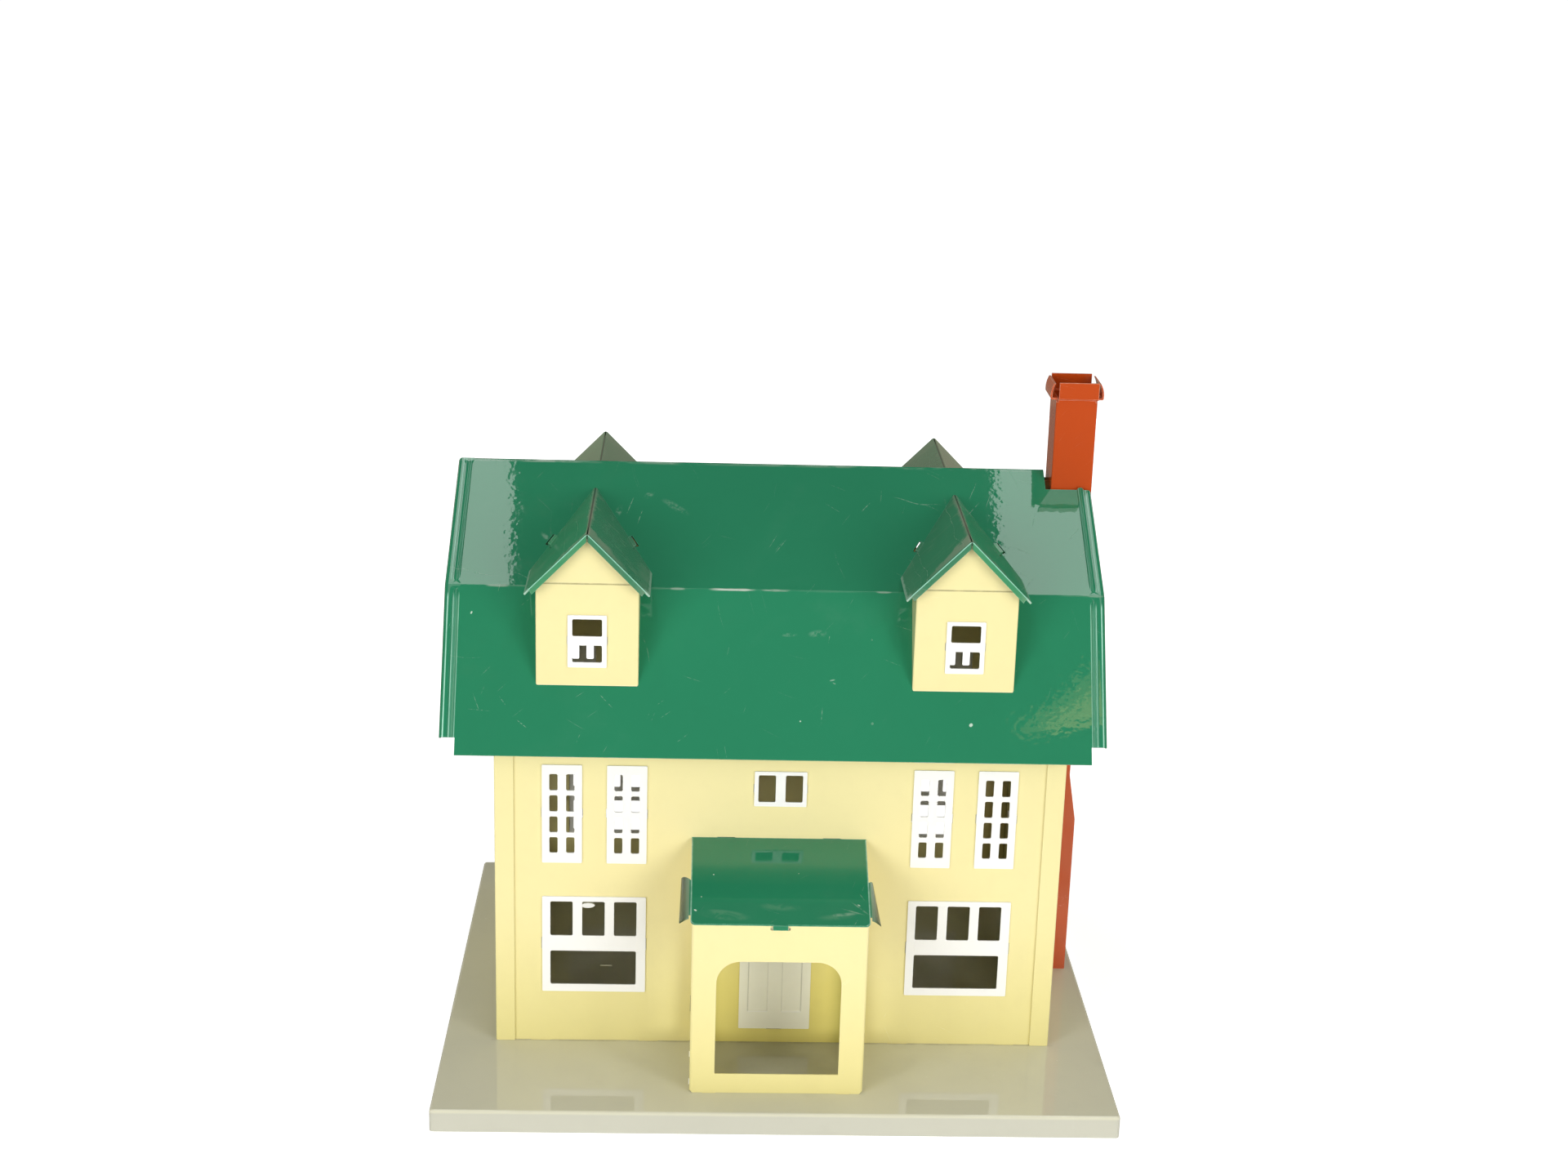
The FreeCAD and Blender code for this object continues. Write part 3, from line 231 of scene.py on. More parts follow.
def enamel(name, color, plane="xz", rough=0.09, peel=1.0, wave=1.0, haze=0.1, haze_color=(0.62, 0.62, 0.55),
           scratch=1.0, scratch_color=(0.75, 0.78, 0.7), edge_wear_highlight_color=None, edge=0.5, chips=1.0, grime=0.1,
           grime_color=(0.32, 0.27, 0.18), vary=0.05, extra=None, rub=0.5, ripple=230.0, ior=1.5):
    """Sprayed gloss enamel on sheet steel with handling wear, and edges lightened partly as worn paint and partly as a
    painted highlight.
    """
    m, T = new_material(name)
    P = T.node("ShaderNodeTexCoord").outputs["Object"]
    uv = plane_uv(T, P, plane)
    wob = T.vmath("SCALE", T.vmath("SUBTRACT", T.noise(P, 26.0, 1.0, color=True), (0.5, 0.5, 0.5)), scale=0.012)
    uvw = T.vmath("ADD", uv, wob)

    # colour: slow drift in thickness, faint mottling
    slow = T.noise(P, 9.0, 2.0)
    mott = T.noise(P, 120.0, 3.0, 0.6)
    col = T.mix(T.remap(slow, 0.3, 0.7, smooth=False), scale_rgb(color, 1.0 - vary), scale_rgb(color, 1.0 + vary))
    col = T.mix(T.mul(T.remap(mott, 0.45, 0.75), 0.10), col, scale_rgb(color, 0.88))

    # grime in soft patches
    gm = T.mul(T.remap(T.noise(P, 34.0, 4.0, 0.65), 0.52, 0.8), T.remap(T.noise(P, 7.0, 1.0), 0.42, 0.68))
    gm = T.mul(gm, grime)
    col = T.mix(gm, col, rgb(*grime_color))

    # rubbed haze: cloudy areas full of hair-fine scratches
    cloud = T.mul(T.remap(T.noise(P, 16.0, 3.0, 0.6, 0.6), 0.5, 0.78), T.remap(T.noise(P, 75.0, 4.0, 0.7), 0.35, 0.75))
    hz = T.mul(cloud, haze)
    col = T.mix(hz, col, rgb(*haze_color))

    marks = None
    if scratch > 0:
        near = T.remap(T.noise(P, 11.0, 1.0), 0.40, 0.62)
        sets = ((18, 0.011, 0.00022, 900), (-37, 0.007, 0.0002, 1200), (71, 0.014, 0.00024, 600), (112, 0.005, 0.0002, 1400), (4, 0.026, 0.00026, 240))
        for i, (ang, ln, wd, dens) in enumerate(sets):
            s = scratches(T, uvw, ang, ln, wd, dens * scratch, i + 1.0)
            marks = s if marks is None else T.top(marks, s)
        marks = T.mul(marks, T.math("MULTIPLY_ADD", near, 0.75, 0.25))
        # broken up along their length, as a rub over orange peel leaves them
        marks = T.mul(marks, T.remap(T.noise(P, 900.0, 2.0), 0.36, 0.6))
        col = T.mix(T.mul(marks, 0.5), col, rgb(*scratch_color))

    chip = None
    if chips > 0:
        chip = T.mul(spots(T, uvw, 0.0011, 420 * chips, 2.0), T.remap(T.noise(P, 14.0, 1.0), 0.42, 0.6))
        col = T.mix(T.mul(chip, 0.6), col, rgb(*scratch_color))

    em = None
    # edges: a lighter colour along sharp edges, partly thin worn paint and partly a painted highlight where a rounded
    # edge would catch the light
    if edge > 0:
        em = T.mul(edge_mask(T, 0.00055), T.remap(T.noise(P, 170.0, 3.0, 0.7), 0.30, 0.62, 0.35, 1.0))
        ec = edge_wear_highlight_color if edge_wear_highlight_color is not None else [min(1.0, c * 1.35 + 0.08) for c in color[:3]]
        col = T.mix(T.mul(em, edge), col, rgb(*ec[:3]))

    spill = None
    if extra is not None:
        col, spill = extra(T, P, uvw, col)

    # gloss
    r = T.remap(T.noise(P, 60.0, 3.0, 0.6), 0.3, 0.75, rough * 0.7, rough * 1.6, smooth=False)
    r = T.add(r, T.mul(hz, rub))
    r = T.add(r, T.mul(gm, 0.6))
    if marks is not None:
        r = T.add(r, T.mul(marks, 0.25))
    if chip is not None:
        r = T.add(r, T.mul(chip, 0.3))
    if spill is not None:
        r = T.add(r, T.mul(spill, 0.28))
    r = T.math("MINIMUM", r, 0.75)

    # surface: sheet waviness, orange peel, scratches
    n = T.bump(T.noise(P, 17.0, 1.0, 0.4), 0.00019 * wave)
    n = T.bump(T.noise(P, ripple, 1.5, 0.45), 0.0000135 * peel, n)
    if marks is not None:
        n = T.bump(T.math("SUBTRACT", 1.0, marks), 0.000012, n)

    b = T.node("ShaderNodeBsdfPrincipled", ins={"Base Color": col, "Roughness": r, "Normal": n})
    b.inputs["IOR"].default_value = ior
    b.inputs["Metallic"].default_value = 0.0
    out = T.node("ShaderNodeOutputMaterial")
    T.t.links.new(b.outputs[0], out.inputs[0])
    return m


def metal(name, color, rough=0.28, brushed=0.0, tarnish=0.4, tarnish_color=(0.25, 0.18, 0.10), axis="z", edge=0.3):
    m, T = new_material(name)
    P = T.node("ShaderNodeTexCoord").outputs["Object"]
    slow = T.noise(P, 130.0, 3.0, 0.6)
    fine = T.noise(P, 1800.0, 2.0, 0.6)
    spot = T.remap(T.noise(P, 420.0, 4.0, 0.7), 0.55, 0.8)
    col = T.mix(T.mul(T.remap(slow, 0.4, 0.7), tarnish), rgb(*color), rgb(*tarnish_color))
    col = T.mix(T.mul(spot, tarnish * 0.6), col, scale_rgb(tarnish_color + (1,), 0.6))
    em = T.mul(edge_mask(T, 0.0003), edge)
    col = T.mix(em, col, rgb(*[min(1.0, c * 1.2 + 0.05) for c in color]))
    stretch = {"x": (40, 2600, 2600), "y": (2600, 40, 2600), "z": (2600, 2600, 40)}[axis]
    grain = T.noise(T.vmath("MULTIPLY", P, stretch), 1.0, 2.0)
    r = T.remap(slow, 0.3, 0.75, rough * 0.75, rough * 1.5, smooth=False)
    r = T.add(r, T.mul(spot, 0.18))
    n = T.bump(T.noise(P, 600.0, 2.0), 0.00001)
    n = T.bump(T.add(T.mul(grain, brushed), T.mul(fine, 0.3)), 0.000006, n)
    b = T.node("ShaderNodeBsdfPrincipled", ins={"Base Color": col, "Roughness": r, "Normal": n})
    b.inputs["Metallic"].default_value = 1.0
    out = T.node("ShaderNodeOutputMaterial")
    T.t.links.new(b.outputs[0], out.inputs[0])
    return m


# ------------------------------------------------------------------- materials
YELLOW = rgb(0.875, 0.782, 0.395)
GREEN = rgb(0.0215, 0.217, 0.105)
BEIGE = rgb(0.67, 0.655, 0.50)
WHITE = rgb(0.93, 0.925, 0.885)
ORANGE = rgb(0.52, 0.066, 0.0085)

KNEE_Z, RIDGE_Y, RIDGE_Z = 0.2253, 0.0217, 0.2659
DORMER_MID, DORMER_OFF, DORMER_FRONT = -0.00365, 0.08345, -0.0716


def front_y(T, y):
    """Y folded about the ridge, so front and rear wear the same."""
    return T.math("SUBTRACT", RIDGE_Y, T.math("ABSOLUTE", T.math("SUBTRACT", y, RIDGE_Y)))


def roof_wear_and_glints(T, P, uv, col):
    """Rubbed lines along the folds and hems, the marks of handling, painted highlights along the rake beads and a
    painted dark reflection beside them.
    """
    x, y, z = T.split(P)[:3]
    flat = T.join(x, z, 0.0)
    long_noise = T.noise(T.join(T.mul(x, 55.0), T.mul(y, 300.0), T.mul(z, 300.0)), 1.0, 4.0, 0.65)
    where = T.remap(T.noise(T.join(T.mul(x, 16.0), 0.0, 3.0), 1.0, 1.0), 0.46, 0.62)
    spots_x = gather(T, [T.mul(blob(T, flat, -48.0, 225.0, 8.0, 3.4), 0.5), blob(T, flat, -23.5, 225.2, 23.0, 3.6), T.mul(blob(T, flat, -4.0, 225.3, 15.0, 3.2), 0.5),
                         T.mul(blob(T, flat, 44.5, 225.6, 9.0, 3.0), 0.5), T.mul(blob(T, flat, -128.0, 225.2, 12.0, 3.0), 0.5)])
    knee = T.remap(T.math("ABSOLUTE", T.math("SUBTRACT", z, KNEE_Z - 0.0003)), 0.0001, T.remap(T.noise(T.join(T.mul(x, 90.0), 1.0, 7.0), 1.0, 2.0), 0.35, 0.65, 0.0003, 0.0009, smooth=False), 1.0, 0.0)
    knee_line = T.mul(T.mul(knee, T.top(T.mul(where, 0.22), spots_x)), T.remap(long_noise, 0.26, 0.50))
    ridge = T.remap(T.math("SUBTRACT", RIDGE_Z, z), 0.0004, 0.0013, 1.0, 0.0)
    ridge_line = T.mul(T.mul(ridge, T.math("MULTIPLY_ADD", where, 0.5, 0.25)), T.remap(long_noise, 0.42, 0.62))
    hem = T.mul(T.remap(z, 0.1572, 0.1584, 1.0, 0.0), T.remap(long_noise, 0.30, 0.62, 0.35, 1.0))
    hem = T.mul(hem, T.remap(x, -0.02, 0.12, 0.35, 0.9))
    m = gather(T, [knee_line, ridge_line, hem])
    col = T.mix(T.mul(m, 0.8), col, rgb(0.62, 0.66, 0.58))
    # painted highlights: pale lines along the beads and the rolled edge of each rake, where they would catch the light
    dx = T.top(T.math("SUBTRACT", x, 0.1371), T.math("SUBTRACT", -0.1446, x))

    def glint_line(c, w):
        return T.remap(T.math("ABSOLUTE", T.math("SUBTRACT", dx, c)), w * 0.45, w * 1.25, 1.0, 0.0)

    low = T.remap(z, KNEE_Z - 0.0055, KNEE_Z - 0.0025, 1.0, 0.0)
    high = T.remap(z, KNEE_Z + 0.0008, KNEE_Z + 0.0022)
    uneven = T.remap(T.noise(T.join(T.mul(x, 30.0), T.mul(y, 40.0), T.mul(z, 40.0)), 1.0, 2.0), 0.3, 0.6, 0.65, 1.0)
    rake = T.mul(gather(T, [T.mul(glint_line(0.00040, 0.00020), 0.75), T.mul(glint_line(0.00275, 0.00024), 0.8), glint_line(0.00535, 0.00030)]), low)
    rake_up = T.mul(gather(T, [glint_line(0.00085, 0.00018), glint_line(0.00320, 0.00020), glint_line(0.00435, 0.00018)]), high)
    col = T.mix(T.mul(T.mul(rake, uneven), 0.95), col, rgb(0.44, 0.84, 0.65))
    col = T.mix(T.mul(T.mul(rake_up, uneven), 0.8), col, rgb(0.24, 0.56, 0.41))
    # painted reflection: a dark green band beside the outer bead on the lower slope
    dark_reflection_band = T.mul(T.mul(T.remap(T.math("ABSOLUTE", T.math("SUBTRACT", dx, 0.0016)), 0.0007, 0.0011, 1.0, 0.0), low), 0.55)
    col = T.mix(dark_reflection_band, col, rgb(0.09, 0.30, 0.19))
    # scratches and scuffs at known places
    fine = T.remap(T.noise(P, 700.0, 3.0, 0.65), 0.40, 0.58)
    lines = gather(T, [blob(T, flat, -78.5, 180.1, 8.5, 0.45, -42.0), blob(T, flat, -124.2, 179.7, 5.0, 0.4, -50.0), blob(T, flat, -115.4, 170.8, 6.0, 0.4, -34.0),
                       blob(T, flat, 21.5, 189.8, 3.2, 0.7, 12.0), blob(T, flat, 22.3, 188.6, 2.4, 0.5, -20.0), blob(T, flat, -70.5, 251.5, 8.0, 0.4, 62.0),
                       blob(T, flat, -66.0, 247.5, 6.0, 0.35, 66.0), blob(T, flat, 20.0, 206.0, 3.5, 0.4, 80.0), blob(T, flat, 17.0, 176.0, 7.0, 0.35, 85.0),
                       T.mul(blob(T, flat, -5.0, 240.5, 7.0, 0.35, 48.0), 0.5), T.mul(blob(T, flat, -1.5, 239.0, 8.0, 0.4, 40.0), 0.5), blob(T, flat, 38.0, 252.0, 6.0, 0.35, 35.0)])
    lines = T.mul(lines, fine)
    chip = T.mul(gather(T, [blob(T, flat, 83.3, 173.1, 1.9, 1.5, 30.0, 0.25), blob(T, flat, -139.2, 214.1, 1.4, 0.8, 60.0, 0.3), blob(T, flat, 7.5, 173.5, 0.8, 0.7, 0.0, 0.3)]), 1.0)
    smudge = gather(T, [blob(T, flat, 15.1, 208.1, 11.0, 3.6, 4.0, 0.8), blob(T, flat, 2.0, 207.5, 9.0, 2.0, 2.0, 0.8), blob(T, flat, -108.5, 240.6, 6.0, 2.2, -30.0, 0.7),
                        blob(T, flat, -75.8, 249.2, 6.0, 3.2, 50.0, 0.7), blob(T, flat, -62.2, 254.7, 6.0, 2.6, 20.0, 0.7), blob(T, flat, -50.0, 251.0, 16.0, 3.0, -20.0, 0.8)])
    smudge = T.mul(smudge, T.remap(T.noise(P, 420.0, 4.0, 0.7), 0.40, 0.66))
    front = T.math("LESS_THAN", y, RIDGE_Y)
    known = T.mul(gather(T, [T.mul(lines, 0.45), chip, T.mul(smudge, 0.26)]), front)
    col = T.mix(known, col, rgb(0.50, 0.66, 0.54))
    return col, T.top(m, known)


def dormer_wear_and_light(T, P, uv, col):
    """Split, worn ridge with a dark line painted along its fold as shade, a painted highlight along the lip, dusty
    bands behind it, and outward slopes painted lighter.
    """
    x, y, z = T.split(P)[:3]
    yf = T.math("SUBTRACT", front_y(T, y), DORMER_FRONT)
    lx = T.math("SUBTRACT", T.math("ABSOLUTE", T.math("SUBTRACT", x, DORMER_MID)), DORMER_OFF)
    ax = T.math("ABSOLUTE", lx)
    outer = T.remap(lx, -0.0004, 0.0004)
    ragged = T.noise(P, 260.0, 4.0, 0.65)
    broad = T.noise(P, 48.0, 2.0, 0.5)
    jag = T.math("SUBTRACT", ragged, 0.5)
    # painted light: the slopes that face outward are painted lighter, as if better lit
    col = T.mix(outer, col, rgb(1.05, 1.30, 1.14), blend="MULTIPLY")
    # dusty smears that run down the slopes
    run = T.noise(T.join(T.mul(ax, 60.0), T.mul(y, 150.0), T.mul(lx, 40.0)), 1.0, 4.0, 0.6, 0.5)
    smear = T.mul(T.remap(run, 0.50, 0.72), T.remap(broad, 0.38, 0.62, 0.2, 1.0))
    deep = T.math("MULTIPLY_ADD", T.remap(lx, -0.022, -0.001, 0.0, 1.0), 0.0085, 0.0030)
    deep = T.add(T.mul(T.math("SUBTRACT", 1.0, outer), deep), T.mul(outer, 0.0052))
    reach = T.math("SUBTRACT", T.add(deep, T.mul(jag, 0.013)), yf)
    band = T.mul(T.remap(yf, 0.0006, 0.0020), T.remap(reach, -0.0022, 0.0022))
    band = T.mul(band, T.remap(T.add(ax, T.mul(broad, 0.018)), 0.018, 0.032, 1.0, 0.0))
    foot_dust = T.mul(T.remap(T.add(ax, T.mul(jag, 0.008)), 0.0185, 0.0265), T.remap(broad, 0.4, 0.6, 0.2, 0.8))
    facing = T.math("MULTIPLY_ADD", T.math("LESS_THAN", y, RIDGE_Y), 0.7, 0.3)
    dust = T.mul(gather(T, [T.mul(smear, 0.5), T.mul(band, 0.72), T.mul(foot_dust, 0.5)]), facing)
    col = T.mix(T.mul(dust, 0.62), col, rgb(0.36, 0.37, 0.28))
    # ridge: primer shows beside a dark line, most of all towards the roof
    rear = T.remap(T.add(yf, T.mul(jag, 0.012)), 0.020, 0.030)
    streak = T.remap(T.noise(T.join(T.mul(ax, 900.0), T.mul(y, 46.0), 2.0), 1.0, 2.0), 0.46, 0.62)
    worn = T.mul(T.remap(T.add(ax, T.mul(jag, 0.0032)), 0.0005, 0.0019, 1.0, 0.0), T.top(T.mul(rear, 0.45), T.mul(streak, 0.16)))
    worn = T.mul(worn, facing)
    col = T.mix(T.mul(worn, 0.75), col, rgb(0.45, 0.40, 0.33))
    # painted shade: a dark line along the ridge fold
    ridge_shade = T.remap(ax, 0.00016, 0.00062, 1.0, 0.0)
    col = T.mix(T.mul(ridge_shade, 0.85), col, rgb(0.016, 0.045, 0.028))
    # lip: a painted highlight, a bright line along the top of the folded front edge
    below = T.mul(T.math("SUBTRACT", T.math("SUBTRACT", 0.2573, z), T.mul(ax, 1.00545)), 0.705)
    lip_glint = T.mul(T.remap(yf, 0.00028, 0.00050, 1.0, 0.0), T.remap(below, 0.00026, 0.00050, 1.0, 0.0))
    lip_glint = T.mul(lip_glint, T.remap(ragged, 0.25, 0.55, 0.65, 1.0))
    col = T.mix(T.mul(lip_glint, 0.85), col, rgb(0.34, 0.68, 0.53))
    # rubbed foot of each slope and bright outer corners
    foot = T.mul(T.remap(T.add(ax, T.mul(jag, 0.0012)), 0.0264, 0.0271), 0.7)
    corner = T.mul(T.remap(T.add(ax, T.mul(jag, 0.004)), 0.0245, 0.0262), T.remap(yf, 0.0015, 0.0040, 1.0, 0.0))
    foot = T.top(foot, corner)
    col = T.mix(T.mul(foot, 0.65), col, rgb(0.44, 0.60, 0.48))
    return col, T.math("MINIMUM", T.add(T.mul(dust, 0.5), T.mul(worn, 0.8)), 1.0)


def wall_painted_shade(T, P, uv, col):
    """Painted shade: yellower inside the porch and darker towards its sides, darker and yellower low down; and a dark
    line at the height of the dormer crease.
    """
    x, y, z = T.split(P)[:3]
    ax = T.math("ABSOLUTE", x)
    # painted shade: inside the porch the wall is yellower, as shaded wall lit by bounce light
    porch_shade = T.mul(T.mul(T.math("LESS_THAN", ax, 0.0385), T.math("LESS_THAN", z, 0.1)), T.mul(T.math("GREATER_THAN", y, -0.11295), T.math("LESS_THAN", y, -0.0655)))
    col = T.mix(porch_shade, col, rgb(0.985, 0.955, 0.62), blend="MULTIPLY")
    # painted shade: darker towards the porch's side walls
    nook_shade = T.mul(porch_shade, T.remap(ax, 0.0235, 0.0345))
    col = T.mix(nook_shade, col, rgb(0.70, 0.72, 0.64), blend="MULTIPLY")
    # painted shade: darker and yellower low down, near the base
    low = T.remap(z, 0.011, 0.085, 1.0, 0.0)
    col = T.mix(low, col, rgb(0.93, 0.93, 0.80), blend="MULTIPLY")
    # a dark line at 233.3 mm height, where the dormer fronts have a crease; it runs across every wall at that height
    line = T.mul(T.remap(T.math("ABSOLUTE", T.math("SUBTRACT", z, 0.2333)), 0.00022, 0.0006, 1.0, 0.0), T.remap(T.noise(P, 150.0, 3.0, 0.6), 0.3, 0.6, 0.5, 1.0))
    col = T.mix(T.mul(line, 0.6), col, rgb(0.40, 0.37, 0.20))
    return col, T.mul(line, 0.4)


def insert_tint_and_painted_light(T, P, uv, col):
    """Doors tinted a little yellower, with painted shade along the sides of their pressed panels and a painted
    highlight along their foot.
    """
    x, y, z = T.split(P)[:3]
    ax = T.math("ABSOLUTE", x)
    # the door is tinted a little yellower
    door = T.mul(T.math("LESS_THAN", ax, 0.0168), T.math("LESS_THAN", z, 0.0848))
    col = T.mix(door, col, rgb(1.0, 0.98, 0.80), blend="MULTIPLY")
    # painted shade: dark lines along the sides of the pressed panels
    tall = T.mul(door, T.remap(z, 0.0264, 0.0272))
    side = T.remap(T.math("ABSOLUTE", T.math("SUBTRACT", ax, 0.0123)), 0.00012, 0.00042, 1.0, 0.0)
    mid = T.remap(T.math("ABSOLUTE", T.math("SUBTRACT", ax, 0.0033)), 0.00010, 0.00034, 1.0, 0.0)
    lines = T.mul(T.top(side, T.mul(mid, 0.6)), tall)
    col = T.mix(T.mul(lines, 0.36), col, rgb(0.36, 0.34, 0.24))
    # painted highlight: a pale line along the foot of the pressed panels
    foot = T.mul(T.remap(T.math("ABSOLUTE", T.math("SUBTRACT", z, 0.0266)), 0.00012, 0.0004, 1.0, 0.0), T.mul(door, T.mul(T.math("GREATER_THAN", ax, 0.0033), T.math("LESS_THAN", ax, 0.0124))))
    col = T.mix(T.mul(foot, 0.5), col, rgb(0.98, 0.96, 0.86))
    return col, T.mul(lines, 0.3)


def base_shade_and_seams(T, P, uv, col):
    """The folded sides are painted darker than the top as shade, the corners under the porch get painted shade, a dark
    line runs along the foot of the front wall, and the corner seams are dark.
    """
    x, y, z = T.split(P)[:3]
    # painted shade: the folded sides are darker than the top
    side = T.remap(z, 0.0086, 0.0099, 1.0, 0.0)
    col = T.mix(T.mul(side, 0.9), col, rgb(0.79, 0.80, 0.88), blend="MULTIPLY")
    seam = T.mul(T.remap(T.math("ABSOLUTE", T.math("SUBTRACT", T.math("ABSOLUTE", y), 0.1296)), 0.0003, 0.0007, 1.0, 0.0), T.mul(side, T.math("GREATER_THAN", T.math("ABSOLUTE", x), 0.151)))
    col = T.mix(T.mul(seam, 0.7), col, rgb(0.22, 0.20, 0.14))
    # painted shade: darker in the corners under the porch
    nook_shade = T.mul(T.remap(T.math("ABSOLUTE", x), 0.034, 0.0385, 1.0, 0.0), T.mul(T.remap(y, -0.1140, -0.108), T.math("LESS_THAN", y, -0.0665)))
    col = T.mix(T.mul(nook_shade, T.remap(y, -0.112, -0.085, 0.5, 1.0)), col, rgb(0.74, 0.73, 0.68), blend="MULTIPLY")
    # a dark line along the foot of the front wall
    line = T.remap(T.math("ABSOLUTE", T.math("SUBTRACT", y, -0.0672)), 0.0002, 0.0011, 1.0, 0.0)
    line = T.mul(T.mul(line, T.math("LESS_THAN", T.math("ABSOLUTE", x), 0.131)), T.remap(T.noise(P, 120.0, 3.0, 0.6), 0.35, 0.65, 0.3, 1.0))
    col = T.mix(T.mul(line, 0.45), col, rgb(0.36, 0.31, 0.19))
    return col, T.mul(line, 0.3)


def chimney_age(T, P, uv, col):
    """The lower chimney has faded towards pink."""
    x, y, z = T.split(P)[:3]
    low = T.mul(T.remap(z, 0.155, 0.205, 1.0, 0.0), T.remap(T.noise(P, 30.0, 2.0), 0.35, 0.65, 0.55, 1.0))
    col = T.mix(T.mul(low, 0.30), col, rgb(0.60, 0.25, 0.16))
    return col, T.mul(low, 0.05)


def porch_wear_and_light(T, P, uv, col):
    """Flaps painted dark as shade, a painted highlight along the side folds, a painted reflection veil, and chips and
    smears on the porch roof.
    """
    x, y, z = T.split(P)[:3]
    flat = T.join(x, y, 0.0)
    ax = T.math("ABSOLUTE", x)
    ragged = T.noise(P, 330.0, 4.0, 0.65)
    # painted shade: the flaps are painted dark, darkest at their outer edge
    flap = T.remap(ax, 0.0398, 0.0406)
    shade = T.mix(T.remap(ax, 0.0402, 0.0430), rgb(0.20, 0.30, 0.20), rgb(0.046, 0.062, 0.020))
    col = T.mix(T.mul(flap, 0.92), col, shade)
    # painted highlight: a pale line along the fold at each side of the roof, in front of the wall
    line = T.mul(T.remap(T.math("ABSOLUTE", T.math("SUBTRACT", ax, 0.0393)), 0.00012, 0.00042, 1.0, 0.0), T.remap(ragged, 0.3, 0.6, 0.55, 1.0))
    line = T.mul(line, T.math("LESS_THAN", y, -0.0672))
    col = T.mix(T.mul(line, 0.7), col, rgb(0.42, 0.66, 0.52))
    chips = gather(T, [blob(T, flat, -37.4, -106.7, 1.6, 0.9, -30.0, 0.3), blob(T, flat, -29.5, -87.4, 0.8, 0.7, 0.0, 0.4), blob(T, flat, -34.8, -99.5, 0.6, 0.5, 0.0, 0.4),
                       blob(T, flat, 34.7, -103.0, 1.8, 0.5, -30.0, 0.5)])
    rubs = gather(T, [blob(T, flat, 35.0, -104.5, 12.0, 1.1, -42.0, 0.7), blob(T, flat, 32.0, -106.5, 12.0, 0.9, -18.0, 0.7), blob(T, flat, 28.0, -108.0, 16.0, 2.4, 6.0, 0.8),
                      blob(T, flat, 36.5, -99.0, 6.0, 0.6, -60.0, 0.6)])
    rubs = T.mul(rubs, T.remap(ragged, 0.36, 0.62))
    # painted reflection: a pale green veil across the front of the porch roof
    painted_reflection_veil = gather(T, [blob(T, flat, -25.0, -109.0, 26.0, 6.0, -6.0, 0.35), blob(T, flat, 0.0, -104.5, 24.0, 5.0, -3.0, 0.8), blob(T, flat, 24.0, -109.5, 20.0, 4.0, 4.0, 0.9)])
    painted_reflection_veil = T.mul(painted_reflection_veil, T.remap(T.noise(P, 110.0, 3.0, 0.6, 0.8), 0.38, 0.62, 0.1, 1.0))
    col = T.mix(T.mul(painted_reflection_veil, 0.24), col, rgb(0.22, 0.42, 0.26))
    m = T.top(T.mul(rubs, 0.26), chips)
    col = T.mix(m, col, rgb(0.62, 0.74, 0.60))
    return col, T.top(T.top(m, T.mul(flap, 0.7)), T.mul(painted_reflection_veil, 0.15))


MAT = {}
MAT["wall_x"] = enamel("wall_enamel_front", YELLOW, "xz", rough=0.13, haze=0.05, haze_color=(0.93, 0.90, 0.72), scratch=0.25,
                       scratch_color=(0.95, 0.92, 0.75), edge=0.55, edge_wear_highlight_color=(0.93, 0.88, 0.60), chips=0.15, grime=0.10,
                       grime_color=(0.62, 0.52, 0.26), vary=0.012, extra=wall_painted_shade)
MAT["wall_y"] = enamel("wall_enamel_gable", YELLOW, "yz", rough=0.13, haze=0.05, haze_color=(0.93, 0.90, 0.72), scratch=0.25,
                       scratch_color=(0.95, 0.92, 0.75), edge=0.55, edge_wear_highlight_color=(0.93, 0.88, 0.60), chips=0.15, grime=0.10,
                       grime_color=(0.62, 0.52, 0.26), vary=0.012, extra=wall_painted_shade)
MAT["roof"] = enamel("roof_enamel_main", GREEN, "xz", rough=0.022, peel=1.3, wave=0.9, haze=0.10, haze_color=(0.16, 0.36, 0.24),
                     scratch=0.8, scratch_color=(0.42, 0.58, 0.46), edge=0.6, edge_wear_highlight_color=(0.20, 0.52, 0.38), chips=0.5,
                     grime=0.08, grime_color=(0.10, 0.20, 0.10), vary=0.03, extra=roof_wear_and_glints, rub=0.25, ripple=340.0)
MAT["dormer_roof"] = enamel("roof_enamel_dormer", rgb(0.048, 0.205, 0.106), "xz", rough=0.07, peel=2.0, wave=1.2, haze=0.30, haze_color=(0.20, 0.29, 0.20),
                            scratch=1.2, scratch_color=(0.40, 0.50, 0.38), edge=0.45, edge_wear_highlight_color=(0.36, 0.66, 0.52), chips=0.8,
                            grime=0.35, grime_color=(0.10, 0.12, 0.07), vary=0.05, extra=dormer_wear_and_light)
MAT["porch_roof"] = enamel("roof_enamel_porch", GREEN, "xy", rough=0.008, peel=0.15, wave=0.2, haze=0.05, haze_color=(0.16, 0.36, 0.24),
                           scratch=0.7, scratch_color=(0.5, 0.62, 0.5), edge=0.7, edge_wear_highlight_color=(0.30, 0.60, 0.46), chips=0.5,
                           grime=0.08, grime_color=(0.16, 0.20, 0.11), vary=0.03, extra=porch_wear_and_light, rub=0.12, ior=1.68)
MAT["base"] = enamel("base_enamel_tray", BEIGE, "xy", rough=0.018, peel=0.5, wave=0.7, haze=0.10, haze_color=(0.76, 0.74, 0.62),
                     scratch=0.8, scratch_color=(0.80, 0.78, 0.66), edge=0.5, edge_wear_highlight_color=(0.80, 0.78, 0.66), chips=0.6,
                     grime=0.16, grime_color=(0.38, 0.33, 0.22), vary=0.02, rub=0.3, extra=base_shade_and_seams)
